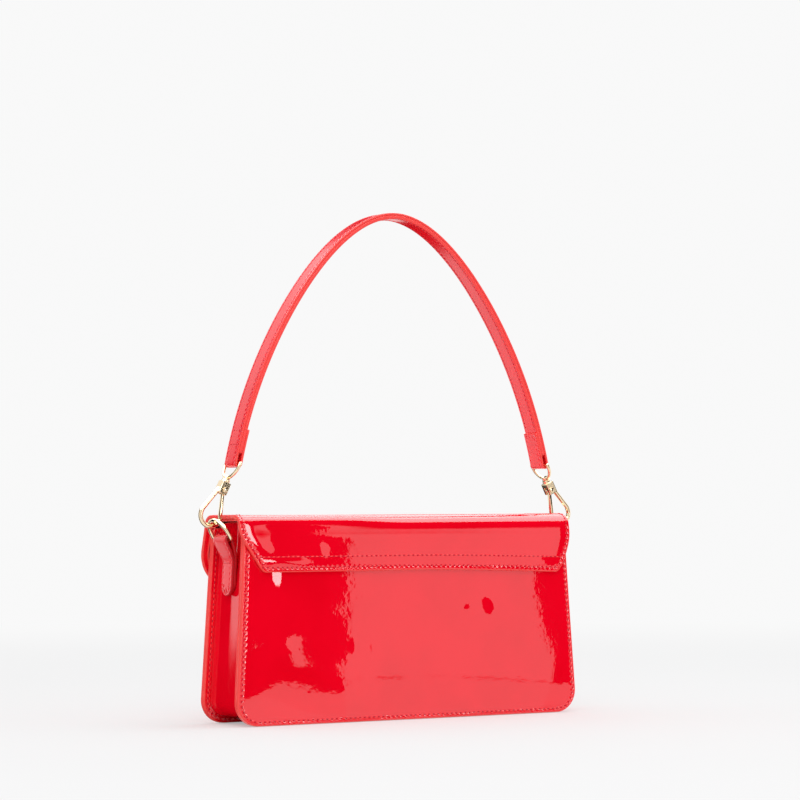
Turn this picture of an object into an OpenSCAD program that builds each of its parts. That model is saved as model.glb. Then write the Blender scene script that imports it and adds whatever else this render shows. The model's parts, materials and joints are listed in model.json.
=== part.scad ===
/* [Bag body] */
// Width across the bottom of the two panels
bottom_w = 296; // [240:1:360]
// Width across the top of the two panels
top_w = 279; // [230:1:340]
// Depth over the outside of both panels
depth = 54; // [44:1:90]
// Height from the ground to the top of the closed flap
height = 150; // [130:1:200]
// Radius of the bottom corners
corner_r = 17; // [12:1:30]
// Radius of the top corners of the panels
top_corner_r = 5; // [2:0.5:8]
// Thickness of a panel with its turned edge
panel_t = 4; // [3:0.1:6]
// Thickness of the varnished skin of a panel
skin_t = 1.6; // [1:0.1:2]
// Width of the turned edge round a panel
rim_w = 8; // [7:0.5:12]
// Thickness of the lining sheets
lining_t = 1; // [0.6:0.1:1.4]

/* [Gusset] */
// Width of the flange that is sewn to a panel
flange_w = 5; // [3.5:0.5:6]
// Thickness of the gusset strip
gusset_t = 1.6; // [1:0.1:2]
// How far the gusset ends below the top of the panels
gusset_drop = 1; // [0:0.5:5]
// Thickness of the base board
base_board_t = 1.4; // [1:0.1:3]
// Gap from the base board to the walls round it
base_board_gap = 3; // [1:0.5:6]

/* [Flap] */
// Thickness of the flap
flap_t = 3; // [2.4:0.1:4]
// Thickness of the outer skin of the flap
flap_skin_t = 1.2; // [0.8:0.1:1.4]
// Thickness of the flap lining
flap_lining_t = 0.8; // [0.5:0.1:1]
// Outer radius of the two shoulders of the flap
shoulder_r = 9; // [7:0.5:12]
// How far the flap's side edges lie inside the top corners of the panels
flap_in = 0.2; // [0:0.1:12]
// Height of the lower edge of the sewn part at the back
anchor_z = 109; // [90:1:118]
// Radius of the side edge of the sewn part at the back
anchor_side_r = 48; // [40:1:70]
// Gap between the hanging flap and the front panel
flap_gap = 1.2; // [0.6:0.1:3]
// Height of the lower edge of the flap at the front
flap_low_z = 62; // [45:1:90]
// How far the corner that its side would have lies outside its shoulder
flap_flare = 4.3; // [0:0.1:5]
// Height of the corner that the flap's side would have if it were not rounded
flap_wide_z = 113.5; // [105:0.5:125]
// How far the lower corners of the flap lie inside its shoulders, before they are rounded
flap_low_in = 42.3; // [30:0.1:70]
// Radius of the upper bend of the flap's side
flap_side_r = 24; // [10:1:30]
// Radius of the lower corners of the flap
flap_corner_r = 24; // [10:1:40]
// Width of the turned edge round the hanging flap
flap_rim_w = 7; // [5:0.5:10]

/* [Closure and pocket] */
// Radius of the hidden magnet and of its plate
magnet_r = 8; // [6:0.5:10]
// Height of the magnet above the lower edge of the flap
magnet_up = 16; // [14:1:24]
// Width of the slip pocket
pocket_w = 150; // [80:1:170]
// Height of the slip pocket
pocket_h = 78; // [50:1:95]
// Height of the pocket's lower edge above the ground
pocket_z = 36; // [28:1:40]
// Thickness of the slip pocket
pocket_t = 1; // [0.6:0.1:2]
// Corner radius of the slip pocket
pocket_r = 8; // [4:1:15]

/* [Ring tab and D-ring] */
// Radius of the wire of the D-ring
ring_wire_r = 1.5; // [1.3:0.1:1.6]
// Half width of the D-ring at the middle of its wire
ring_half_w = 12.5; // [12:0.5:16]
// Height of the D-ring from the bar to the top, at the middle of the wire
ring_h = 16; // [15.5:0.5:22]
// Radius of the two corners at the bar
ring_corner_r = 2.5; // [2:0.5:3]
// Lean of the D-ring away from the bag
ring_lean = 31; // [20:1:36]
// Height of the ring's bar above the ground
bar_z = 132.6; // [115:0.1:134]
// How far the bar stands out past the edge of the panels
bar_out = 3.1; // [2.5:0.1:5]
// Thickness of one leather layer of the tab
tab_layer_t = 2; // [1.5:0.1:2.2]
// Width of the tab round the bar
tab_loop_w = 18.4; // [14:0.2:19]
// Width of the lower part of the tab
tab_w = 14.4; // [10:0.2:15]
// Length of the tab below the bar
tab_len = 40; // [32:1:60]
// Height of the part of the tab that stands off the gusset, below the bar
tab_rise = 14.5; // [10:0.5:20]

/* [Snap hook] */
// Radius of the hook's wire
hook_wire_r = 1.7; // [1.4:0.1:1.8]
// Radius of the hook's bend at the middle of its wire
bend_r = 8.1; // [7.5:0.1:10]
// Distance from the top of the swivel barrel to the centre of the bend
hook_reach = 28.4; // [26:0.1:34]
// Tilt of the hook from upright
hook_tilt = 27; // [20:1:32]
// Angle of the place where the ring bears on the bend, from straight down the hook
seat_angle = 54; // [30:1:60]
// Play between the ring and the hook
seat_play = 0.6; // [0.3:0.05:0.8]
// Length of the lap where the gate meets the nose
nose_lap = 2; // [1:0.1:3]
// Half width of the hook's head across the pin
head_half_w = 3.6; // [3.2:0.1:4.2]
// Height of the head along the hook
head_h = 9; // [8.5:0.1:10]
// Reach of the head on each side of the hook's axis
head_reach = 3.4; // [3.1:0.1:3.5]
// Radius of the swivel barrel
barrel_r = 3; // [2.5:0.1:3.3]
// Length of the swivel barrel above the head
barrel_h = 2.2; // [1.5:0.1:3]
// Radius of the gate's pin
pin_r = 1; // [0.8:0.05:1.1]
// Radius of the rivet heads on the pin
rivet_r = 1.9; // [1.6:0.1:2.3]
// Thickness of the rivet heads
rivet_t = 0.8; // [0.5:0.1:1.2]
// Thickness of the gate across the hook
gate_t = 2.6; // [2.4:0.1:2.8]
// Radius of the gate's hub
hub_r = 2.4; // [2.1:0.1:2.5]
// Width of the gate's arm
gate_arm_w = 2.4; // [1.8:0.1:2.8]
// Radius of the spring wire
spring_wire_r = 0.22; // [0.15:0.01:0.25]
// Turns of the spring
spring_turns = 1.5; // [1:0.5:2]

/* [Swivel eye] */
// Radius of the wire of the eye
eye_wire_r = 1.25; // [1.2:0.05:1.4]
// Half width of the eye at the middle of its wire
eye_half_w = 10.3; // [9.8:0.1:12]
// Height of the eye's bar above the barrel
eye_bar_h = 13; // [12.4:0.1:15]
// Radius of the stem that turns in the barrel
stem_r = 1.45; // [1.2:0.05:1.5]
// Radius of the stem's riveted end
stem_head_r = 2.1; // [1.9:0.05:2.2]
// Thickness of the stem's riveted end
stem_head_t = 1; // [0.7:0.05:1.1]
// Radius of the eye's boss
boss_r = 2.4; // [2:0.1:2.8]

/* [Strap] */
// Width of the strap
strap_w = 16; // [12:0.5:17]
// Width of the filler inside the strap
core_w = 12; // [8:0.5:13]
// Thickness of the outer layer of the strap
strap_skin_t = 1.6; // [1.2:0.1:1.8]
// Thickness of the strap's lining layer
strap_lining_t = 1.6; // [1.2:0.1:1.8]
// Rise of the strap above the eyes
strap_rise = 184; // [120:1:260]
// Lean of the strap's ends from upright
strap_lean = 12; // [6:1:18]
// Share of the strap's turn that is spread evenly over its length
strap_even_share = 0.5; // [0.3:0.05:0.9]
// Power that draws the rest of the turn towards the top
strap_top_power = 7.5; // [2:0.5:9]
// Length of the end that is folded round the eye and sewn back
fold_len = 27; // [18:1:40]

/* [Hidden] */

// Colours of the finishes
patent_red = [0.86, 0.02, 0.07];
edge_red = [0.9, 0.22, 0.24];
lining_red = [0.45, 0.03, 0.06];
board_grey = [0.62, 0.58, 0.52];
pale_gold = [0.9, 0.74, 0.5];
spring_steel = [0.6, 0.6, 0.62];

// Fineness of round metal parts and of drawn corners
round_fn = 48;
small_fn = 32;
corner_steps = 10;
half_share = 0.49;
full_share = 0.98;
strap_steps = 36;
coil_sides = 6;
coil_steps = 12;

// Overrun of cuts, gap at a crease, running play of pins and play of loose pieces
over = 1;
crease_gap = 0.3;
pin_play = 0.05;
rivet_play = 0.02;
loose_play = 0.3;
loop_play = 0.1;
eye_play = 0.15;
magnet_play = 0.2;

// Levels and planes of the body
crease_z = height - shoulder_r;
panel_h = crease_z - crease_gap;
half_depth = depth / 2;
inner_y = half_depth - panel_t;
board_t = panel_t - skin_t - lining_t;
side_run = (bottom_w - top_w) / 2;
side_slope = atan(side_run / panel_h);
floor_z = flange_w + gusset_t + lining_t;

// Planes of the flap
flap_back_y = half_depth + flap_t;
flap_front_y = -(half_depth + flap_gap + flap_t);
flap_board_t = flap_t - flap_skin_t - flap_lining_t;
flap_half_w = top_w / 2 - flap_in;
flap_low_half_w = flap_half_w - flap_low_in;
flap_wide_half_w = flap_half_w + flap_flare;
magnet_z = flap_low_z + magnet_up;

// The bar of the ring, its top and the hook that hangs in it, in the plane of the hooks
function side_x(z) = bottom_w / 2 - z * tan(side_slope);
bar_x = side_x(bar_z) + bar_out;
ring_top = [bar_x + ring_h * sin(ring_lean), bar_z + ring_h * cos(ring_lean)];
hook_down = [sin(hook_tilt), -cos(hook_tilt)];
hook_out = [cos(hook_tilt), sin(hook_tilt)];
seat_d = bend_r - hook_wire_r - ring_wire_r - seat_play;
bend_c = ring_top - seat_d * (cos(seat_angle) * hook_down - sin(seat_angle) * hook_out);
barrel_top = bend_c - hook_reach * hook_down;
eye_bar = barrel_top - eye_bar_h * hook_down;

// Parts of the snap hook along its own axis
pivot_x = -0.27 * head_reach;
pivot_z = -(barrel_h + 0.64 * head_h);
slot_half_w = gate_t / 2 + loose_play;
hub_room_r = hub_r + loose_play;
spine_foot = [0.74 * head_reach, pivot_z];
spine_d = norm(spine_foot - [0, -hook_reach]);
spine_a = atan2(spine_foot[1] + hook_reach, spine_foot[0]) - acos(bend_r / spine_d);
spine_len = sqrt(spine_d * spine_d - bend_r * bend_r);
cavity_top = -(barrel_h + 0.09 * head_h);
cavity_r = stem_head_r + loose_play;
cavity_h = stem_head_t + 2 * loose_play;
coil_r = pin_r + spring_wire_r + loose_play;
coil_pitch = 2 * spring_wire_r;
recess_r = coil_r + spring_wire_r + loose_play;
recess_depth = (spring_turns + 1) * coil_pitch + loose_play;

lap_r = hook_wire_r - pin_play;
lap_root = hook_wire_r / 2;

// Layers and path of the strap
loop_r = eye_wire_r + eye_play + strap_skin_t / 2;
strap_t = 2 * loop_r;
core_t = strap_t - strap_skin_t - strap_lining_t;
strap_foot = [
    eye_bar[0] + strap_skin_t / 2 * cos(strap_lean),
    eye_bar[1] + strap_skin_t / 2 * sin(strap_lean)
];
function turn(u) = strap_lean + (90 - strap_lean)
    * (strap_even_share * u + (1 - strap_even_share) * pow(u, strap_top_power));
run_in = [for (i = 0, s = 0; i <= strap_steps; s = s + sin(turn((i + 0.5) / strap_steps)), i = i + 1) s];
run_up = [for (i = 0, s = 0; i <= strap_steps; s = s + cos(turn((i + 0.5) / strap_steps)), i = i + 1) s];
strap_path = [for (i = [0:strap_steps]) [
    strap_foot[0] * (1 - run_in[i] / run_in[strap_steps]),
    strap_foot[1] + strap_rise * run_up[i] / run_up[strap_steps]
]];
strap_step = norm(strap_path[1] - strap_path[0]);
fold_steps = round(fold_len / strap_step);
lining_start = max(1, round((2 * eye_wire_r + strap_skin_t) / strap_step));

// Points of an arc, with both ends
function arc(c, r, a0, a1, n) = [for (i = [0:n])
    let (a = a0 + (a1 - a0) * i / n) [c[0] + r * cos(a), c[1] + r * sin(a)]];

// Points of one corner of an outline, rounded by r or by less where its sides leave no room
function corner(p0, p, p1, wanted_r, share0, share1) =
    let (
        d0 = (p0 - p) / norm(p0 - p),
        d1 = (p1 - p) / norm(p1 - p),
        half = acos(d0 * d1) / 2,
        r = min(wanted_r, tan(half) * min(share0 * norm(p0 - p), share1 * norm(p1 - p))),
        c = p + (d0 + d1) / norm(d0 + d1) * r / sin(half),
        s = p + d0 * r / tan(half) - c,
        e = p + d1 * r / tan(half) - c,
        a0 = atan2(s[1], s[0]),
        raw = atan2(e[1], e[0]) - a0,
        sweep = raw > 180 ? raw - 360 : raw < -180 ? raw + 360 : raw
    )
    arc(c, r, a0, a0 + sweep, corner_steps);

// An outline whose corner i is rounded by radii[i]
function rounded(pts, radii) = [for (i = [0:len(pts) - 1])
    let (before = (i + len(pts) - 1) % len(pts), after = (i + 1) % len(pts))
    each radii[i] > 0
        ? corner(pts[before], pts[i], pts[after], radii[i],
            radii[before] > 0 ? half_share : full_share, radii[after] > 0 ? half_share : full_share)
        : [pts[i]]];

// The right half of an outline, from the axis back to the axis, with its mirror image
function whole(h) = concat(h, [for (i = [len(h) - 2:-1:1]) [-h[i][0], h[i][1]]]);

// The trapezoid of a panel, drawn in by inset on its sides and bottom, up to top_z
function body_outline(inset, top_z, top_r) =
    let (
        low = bottom_w / 2 - inset / cos(side_slope) - inset * tan(side_slope),
        high = bottom_w / 2 - inset / cos(side_slope) - top_z * tan(side_slope),
        r = corner_r - inset
    )
    rounded([[-low, inset], [low, inset], [high, top_z], [-high, top_z]], [r, r, top_r, top_r]);

// Stands a drawing in the X-Z plane up and gives it a thickness from y0 to y1
module slab(y0, y1) {
    translate([0, y1, 0]) rotate([90, 0, 0]) linear_extrude(y1 - y0) children();
}

// Draws a profile of depth and height and runs it along X, to half_w on each side
module along_x(half_w) {
    translate([-half_w, 0, 0]) rotate([90, 0, 90]) linear_extrude(2 * half_w) children();
}

// Part of a ring of round wire in the X-Y plane
module bent_wire(r, wire_r, a0, a1) {
    rotate([0, 0, a0]) rotate_extrude(angle = a1 - a0, $fn = round_fn)
        translate([r, 0]) circle(wire_r, $fn = small_fn);
}

// Puts the left pieces on the +X side and the right ones, mirrored, on the other
module on_side(side) {
    mirror([side < 0 ? 1 : 0, 0, 0]) children();
}

// The frame of a snap hook: +Z up its axis from the top of the barrel, +X towards its spine
module hook_frame() {
    translate([barrel_top[0], 0, barrel_top[1]]) rotate([0, -hook_tilt, 0]) children();
}

module panel(y_out, y_in) {
    y_pocket = y_out > 0 ? y_out - skin_t : y_out + skin_t;
    difference() {
        slab(min(y_out, y_in), max(y_out, y_in)) polygon(body_outline(0, panel_h, top_corner_r));
        slab(min(y_pocket, y_in - sign(y_out) * over), max(y_pocket, y_in - sign(y_out) * over))
            polygon(body_outline(rim_w, panel_h - rim_w, corner_r - rim_w));
    }
}

module board_sheet(y0, y1) {
    slab(y0, y1) polygon(body_outline(rim_w, panel_h - rim_w, corner_r - rim_w));
}

module back_panel() {
    color(patent_red) panel(half_depth, inner_y);
}

module front_panel() {
    color(patent_red) panel(-half_depth, -inner_y);
}

module back_board() {
    color(board_grey) board_sheet(inner_y + lining_t, half_depth - skin_t);
}

module front_board() {
    color(board_grey) difference() {
        board_sheet(-half_depth + skin_t, -inner_y - lining_t);
        magnet_disc(-half_depth + skin_t - over, -inner_y - lining_t + over, magnet_r + magnet_play);
    }
}

module back_lining() {
    color(lining_red) board_sheet(inner_y, inner_y + lining_t);
}

module front_lining() {
    color(lining_red) board_sheet(-inner_y - lining_t, -inner_y);
}

// A round disc for the magnet, its plate and the holes that hold them
module magnet_disc(y0, y1, r) {
    translate([0, y1, magnet_z]) rotate([90, 0, 0]) cylinder(h = y1 - y0, r = r, $fn = round_fn);
}

module closure_plate() {
    color(spring_steel) magnet_disc(-half_depth + skin_t, -inner_y - lining_t, magnet_r);
}

// A U-shaped strip between two insets of the body's outline, open at the top
module u_strip(y_half, outer_inset, inner_inset, top_z) {
    difference() {
        slab(-y_half, y_half) polygon(body_outline(outer_inset, top_z, 0));
        slab(-y_half - over, y_half + over) polygon(body_outline(inner_inset, top_z + over, 0));
    }
}

module gusset() {
    top_z = panel_h - gusset_drop;
    color(patent_red) union() {
        u_strip(inner_y, flange_w, flange_w + gusset_t, top_z);
        for (y = [-inner_y, inner_y - gusset_t]) difference() {
            slab(y, y + gusset_t) polygon(body_outline(0, top_z, 0));
            slab(y - over, y + gusset_t + over)
                polygon(body_outline(flange_w + gusset_t, top_z + over, 0));
        }
    }
}

module gusset_lining() {
    color(lining_red) u_strip(inner_y, flange_w + gusset_t, floor_z, panel_h - gusset_drop);
}

module base_board() {
    half_w = bottom_w / 2 - corner_r - base_board_gap;
    half_y = inner_y - base_board_gap;
    color(board_grey) translate([-half_w, -half_y, floor_z])
        cube([2 * half_w, 2 * half_y, base_board_t]);
}

module slip_pocket() {
    half_w = pocket_w / 2;
    top = pocket_z + pocket_h;
    color(lining_red) slab(inner_y - pocket_t, inner_y)
        polygon(rounded([[-half_w, pocket_z], [half_w, pocket_z], [half_w, top], [-half_w, top]],
            [pocket_r, pocket_r, 0, 0]));
}

// The sewn part of the flap on the back panel, its side edges drawn in by a wide arc
module flap_anchor() {
    c = [flap_half_w - anchor_side_r, panel_h];
    low_a = -asin((panel_h - anchor_z) / anchor_side_r);
    color(patent_red) slab(half_depth, flap_back_y)
        polygon(whole(concat(
            [[0, panel_h]],
            arc(c, anchor_side_r, 0, low_a, corner_steps),
            [[0, anchor_z]]
        )));
}

// A profile that goes over the top, between two depths under the outer face of the flap
module over_top(t0, t1) {
    back = flap_back_y - shoulder_r;
    front = flap_front_y + shoulder_r;
    polygon(concat(
        arc([back, crease_z], shoulder_r - t0, 0, 90, corner_steps),
        arc([front, crease_z], shoulder_r - t0, 90, 180, corner_steps),
        arc([front, crease_z], shoulder_r - t1, 180, 90, corner_steps),
        arc([back, crease_z], shoulder_r - t1, 90, 0, corner_steps)
    ));
}

module flap_top_panel() {
    color(patent_red) along_x(flap_half_w) over_top(0, flap_skin_t + flap_board_t / 2);
}

module flap_top_lining() {
    color(lining_red) along_x(flap_half_w) over_top(flap_skin_t + flap_board_t / 2, flap_t);
}

// The outline of the hanging flap, drawn in by inset
function flap_outline(inset) =
    let (top = panel_h - inset, wide = flap_wide_half_w - inset)
    rounded([
        [-flap_half_w + inset, top],
        [-wide, flap_wide_z],
        [-flap_low_half_w + inset / 2, flap_low_z + inset],
        [flap_low_half_w - inset / 2, flap_low_z + inset],
        [wide, flap_wide_z],
        [flap_half_w - inset, top]
    ], [0, flap_side_r - inset, flap_corner_r - inset, flap_corner_r - inset, flap_side_r - inset, 0]);

module flap_front_panel() {
    color(patent_red) difference() {
        slab(flap_front_y, flap_front_y + flap_t) polygon(flap_outline(0));
        slab(flap_front_y + flap_skin_t, flap_front_y + flap_t + over)
            polygon(flap_outline(flap_rim_w));
    }
}

module flap_board() {
    y = flap_front_y + flap_skin_t;
    color(board_grey) difference() {
        slab(y, y + flap_board_t) polygon(flap_outline(flap_rim_w));
        magnet_disc(y - over, y + flap_board_t + over, magnet_r + magnet_play);
    }
}

module closure_magnet() {
    y = flap_front_y + flap_skin_t;
    color(spring_steel) magnet_disc(y, y + flap_board_t, magnet_r);
}

module flap_front_lining() {
    color(lining_red) slab(flap_front_y + flap_t - flap_lining_t, flap_front_y + flap_t)
        polygon(flap_outline(flap_rim_w));
}

// The leather tab: a loop round the ring's bar that runs down and lies on the gusset
module ring_tab() {
    loop_out = ring_wire_r + loop_play + tab_layer_t;
    wall = [side_x(bar_z - tab_rise) - flange_w / cos(side_slope), bar_z - tab_rise];
    face = wall + [2 * tab_layer_t, 0];
    foot_x = side_x(bar_z - tab_len) - flange_w / cos(side_slope);
    middle = (wall + face) / 2;
    lean = atan2(bar_x - middle[0], bar_z - middle[1]);
    side = loop_out * [cos(lean), -sin(lean)];
    shoulder_z = bar_z - loop_out - tab_layer_t;
    back_x = min(foot_x, bar_x - loop_out) - over;
    front_x = max(foot_x + 2 * tab_layer_t, bar_x + loop_out) + over;
    color(patent_red) difference() {
        intersection() {
            slab(-tab_loop_w / 2, tab_loop_w / 2) union() {
                translate([bar_x, bar_z]) circle(loop_out, $fn = round_fn);
                polygon([face, [bar_x, bar_z] + side, [bar_x, bar_z] - side, wall]);
                polygon([
                    wall, [foot_x, bar_z - tab_len], [foot_x + 2 * tab_layer_t, bar_z - tab_len], face
                ]);
            }
            translate([back_x, 0, 0]) rotate([90, 0, 90])
                linear_extrude(front_x - back_x)
                polygon(rounded([
                    [tab_loop_w / 2, bar_z + loop_out + over],
                    [-tab_loop_w / 2, bar_z + loop_out + over],
                    [-tab_loop_w / 2, shoulder_z],
                    [-tab_w / 2, shoulder_z - tab_rise / 2],
                    [-tab_w / 2, bar_z - tab_len],
                    [tab_w / 2, bar_z - tab_len],
                    [tab_w / 2, shoulder_z - tab_rise / 2],
                    [tab_loop_w / 2, shoulder_z]
                ], [0, 0, tab_layer_t, tab_layer_t, 0.49 * tab_w, 0.49 * tab_w, tab_layer_t, tab_layer_t]));
        }
        translate([bar_x, -tab_loop_w, bar_z]) rotate([-90, 0, 0])
            cylinder(h = 2 * tab_loop_w, r = ring_wire_r + loop_play, $fn = round_fn);
    }
}

module ring_tab_left() {
    on_side(1) ring_tab();
}

module ring_tab_right() {
    on_side(-1) ring_tab();
}

// A straight length of round wire along Z
module rod(z0, z1, r) {
    translate([0, 0, z0]) cylinder(h = z1 - z0, r = r, $fn = small_fn);
}

// The D-ring: a straight bar in the tab, two corners, short legs and a half round top
module d_ring() {
    flat_y = ring_half_w - ring_corner_r;
    leg_top = ring_h - ring_half_w;
    color(pale_gold) translate([bar_x, 0, bar_z]) rotate([0, ring_lean, 0]) union() {
        rotate([90, 0, 0]) rod(-flat_y, flat_y, ring_wire_r);
        for (s = [-1, 1]) mirror([0, s < 0 ? 1 : 0, 0]) {
            translate([0, flat_y, ring_corner_r]) rotate([90, 0, 90])
                bent_wire(ring_corner_r, ring_wire_r, -90, 0);
            translate([0, ring_half_w, 0]) rod(ring_corner_r, leg_top, ring_wire_r);
        }
        translate([0, 0, leg_top]) rotate([90, 0, 90]) bent_wire(ring_half_w, ring_wire_r, 0, 180);
    }
}

module d_ring_left() {
    on_side(1) d_ring();
}

module d_ring_right() {
    on_side(-1) d_ring();
}

// The hook: barrel, slotted head, straight spine, round bend and a nose with half a lap
module hook_body() {
    color(pale_gold) hook_frame() difference() {
        union() {
            rod(-barrel_h - over, 0, barrel_r);
            translate([-head_reach, -head_half_w, -barrel_h - head_h])
                cube([2 * head_reach, 2 * head_half_w, head_h]);
            translate([0, 0, -hook_reach]) rotate([0, -spine_a, 0]) {
                translate([bend_r, 0, 0]) rod(0, spine_len, hook_wire_r);
                rotate([-90, 0, 0]) bent_wire(bend_r, hook_wire_r, 0, 180 + spine_a);
            }
            translate([-bend_r, 0, -hook_reach]) difference() {
                rod(-lap_root, nose_lap, lap_r);
                translate([0, -hook_wire_r, 0])
                    cube([hook_wire_r, 2 * hook_wire_r, nose_lap + over]);
            }
        }
        rod(cavity_top - over, over, stem_r + pin_play);
        rod(cavity_top - cavity_h, cavity_top, cavity_r);
        translate([-head_reach - over, -slot_half_w, -barrel_h - head_h - over])
            cube([
                head_reach + over + pivot_x + hub_room_r, 2 * slot_half_w,
                head_h + over + barrel_h + pivot_z + hub_room_r
            ]);
        translate([pivot_x, 0, pivot_z]) rotate([90, 0, 0])
            rod(-head_half_w - over, head_half_w + over, pin_r + rivet_play);
    }
}

module hook_body_left() {
    on_side(1) hook_body();
}

module hook_body_right() {
    on_side(-1) hook_body();
}

module gate_pin() {
    color(pale_gold) hook_frame() translate([pivot_x, 0, pivot_z]) rotate([90, 0, 0]) union() {
        rod(-head_half_w - rivet_t, head_half_w + rivet_t, pin_r);
        rod(head_half_w, head_half_w + rivet_t, rivet_r);
        rod(-head_half_w - rivet_t, -head_half_w, rivet_r);
    }
}

module gate_pin_left() {
    on_side(1) gate_pin();
}

module gate_pin_right() {
    on_side(-1) gate_pin();
}

// The gate: a hub on the pin and an arm whose tip laps inside the nose. Both of its ends are
// rounded about the pin, so that they swing clear of the nose
module gate() {
    tip_z = -hook_reach + loose_play;
    tip_out = -bend_r - gate_arm_w / 2;
    tip_in = -bend_r + gate_arm_w / 2;
    lap_x = -bend_r + loose_play;
    arm_a = atan2(-bend_r - pivot_x, pivot_z - tip_z);
    side = gate_arm_w / 2 * [cos(arm_a), -sin(arm_a)];
    pivot = [pivot_x, pivot_z];
    arm_swing_r = norm([-bend_r, nose_lap - hook_reach] - pivot) - loose_play;
    tip_swing_r = norm([hook_wire_r - bend_r, -hook_reach] - pivot) - loose_play;
    color(pale_gold) hook_frame() difference() {
        slab(-gate_t / 2, gate_t / 2) union() {
            translate(pivot) circle(hub_r, $fn = round_fn);
            intersection() {
                polygon([pivot - side, [tip_out, tip_z], [tip_in, tip_z], pivot + side]);
                translate(pivot) circle(arm_swing_r, $fn = 2 * round_fn);
            }
            intersection() {
                polygon([
                    [lap_x, tip_z + 2 * nose_lap], [lap_x, tip_z],
                    [tip_in, tip_z], [tip_in, tip_z + 2 * nose_lap]
                ]);
                translate(pivot) circle(tip_swing_r, $fn = 2 * round_fn);
            }
        }
        translate([pivot_x, 0, pivot_z]) rotate([90, 0, 0]) {
            rod(-gate_t, gate_t, pin_r + pin_play);
            rod(-gate_t, recess_depth - gate_t / 2, recess_r);
        }
    }
}

module gate_left() {
    on_side(1) gate();
}

module gate_right() {
    on_side(-1) gate();
}

// The spring: a short coil round the pin, in the recess of the hub, swept as one tube
module gate_spring() {
    n = round(spring_turns * coil_steps);
    rings = [for (i = [0:n]) let (a = i * 360 / coil_steps) [for (k = [0:coil_sides - 1])
        let (b = k * 360 / coil_sides, r = coil_r + spring_wire_r * cos(b)) [
            r * cos(a), r * sin(a), i * coil_pitch / coil_steps + spring_wire_r * sin(b)
        ]]];
    points = [for (ring = rings) each ring];
    sides = [for (i = [0:n - 1], k = [0:coil_sides - 1]) let (
        a = i * coil_sides + k, b = i * coil_sides + (k + 1) % coil_sides,
        c = a + coil_sides, d = b + coil_sides
    ) each [[a, b, c], [b, d, c]]];
    first_end = [for (k = [1:coil_sides - 2]) [0, k + 1, k]];
    last_end = [for (k = [1:coil_sides - 2]) [
        n * coil_sides, n * coil_sides + k, n * coil_sides + k + 1
    ]];
    color(spring_steel) hook_frame()
        translate([pivot_x, gate_t / 2 - spring_wire_r, pivot_z]) rotate([90, 0, 0])
        polyhedron(points = points, faces = concat(sides, first_end, last_end));
}

module gate_spring_left() {
    on_side(1) gate_spring();
}

module gate_spring_right() {
    on_side(-1) gate_spring();
}

// The swivel eye: a D of wire for the strap, on a stem that turns in the hook's barrel
module swivel_eye() {
    arc_z = loose_play + boss_r / 2 + eye_half_w;
    color(pale_gold) hook_frame() union() {
        translate([0, 0, arc_z]) rotate([90, 0, 90]) bent_wire(eye_half_w, eye_wire_r, 180, 360);
        for (y = [-eye_half_w, eye_half_w]) {
            translate([0, y, 0]) rod(arc_z, eye_bar_h, eye_wire_r);
            translate([0, y, eye_bar_h]) sphere(eye_wire_r, $fn = small_fn);
        }
        translate([0, 0, eye_bar_h]) rotate([90, 0, 0]) rod(-eye_half_w, eye_half_w, eye_wire_r);
        rod(loose_play, loose_play + boss_r, boss_r);
        rod(cavity_top - loose_play - stem_head_t, loose_play + over, stem_r);
        rod(cavity_top - loose_play - stem_head_t, cavity_top - loose_play, stem_head_r);
    }
}

module swivel_eye_left() {
    on_side(1) swivel_eye();
}

module swivel_eye_right() {
    on_side(-1) swivel_eye();
}

// The strap's path moved out by d, from step i0 to step i1, from the eye towards the top
function strap_line(d, i0, i1) = [for (i = [i0:i1])
    let (
        p0 = strap_path[max(i - 1, 0)],
        p1 = strap_path[min(i + 1, strap_steps)],
        t = i == strap_steps ? [-1, 0]
            : i == 0 ? [-sin(strap_lean), cos(strap_lean)] : (p1 - p0) / norm(p1 - p0)
    )
    strap_path[i] + d * [t[1], -t[0]]];

function backwards(list) = [for (i = [len(list) - 1:-1:0]) list[i]];

// The outer layer runs over the arch, round both eyes and back up the inner side
module strap_outer() {
    out = strap_t / 2;
    half = concat(
        backwards(strap_line(out, 0, strap_steps)),
        arc(eye_bar, loop_r + strap_skin_t / 2, strap_lean, strap_lean - 180, corner_steps),
        strap_line(-out - strap_skin_t, 1, fold_steps),
        backwards(strap_line(-out, 1, fold_steps)),
        arc(eye_bar, loop_r - strap_skin_t / 2, strap_lean - 180, strap_lean, corner_steps),
        strap_line(out - strap_skin_t, 1, strap_steps)
    );
    color(patent_red) slab(-strap_w / 2, strap_w / 2) polygon(whole(half));
}

// A layer of the strap between two offsets from its path
module strap_layer(d0, d1, w) {
    half = concat(
        backwards(strap_line(d1, lining_start, strap_steps)),
        strap_line(d0, lining_start, strap_steps)
    );
    slab(-w / 2, w / 2) polygon(whole(half));
}

module strap_core() {
    color(board_grey) strap_layer(strap_lining_t - strap_t / 2, strap_t / 2 - strap_skin_t, core_w);
}

module strap_lining() {
    color(patent_red) strap_layer(-strap_t / 2, strap_lining_t - strap_t / 2, strap_w);
}

back_panel();
front_panel();
back_board();
front_board();
back_lining();
front_lining();
gusset();
gusset_lining();
base_board();
slip_pocket();
flap_anchor();
closure_plate();
ring_tab_left();
ring_tab_right();
flap_top_panel();
flap_top_lining();
flap_front_panel();
flap_front_lining();
flap_board();
closure_magnet();
d_ring_left();
d_ring_right();
strap_outer();
strap_core();
strap_lining();
swivel_eye_left();
swivel_eye_right();
hook_body_left();
hook_body_right();
gate_pin_left();
gate_pin_right();
gate_spring_left();
gate_spring_right();
gate_left();
gate_right();
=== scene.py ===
import json
import math

import bmesh
import bpy
import numpy as np
from mathutils import Matrix, Vector

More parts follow.
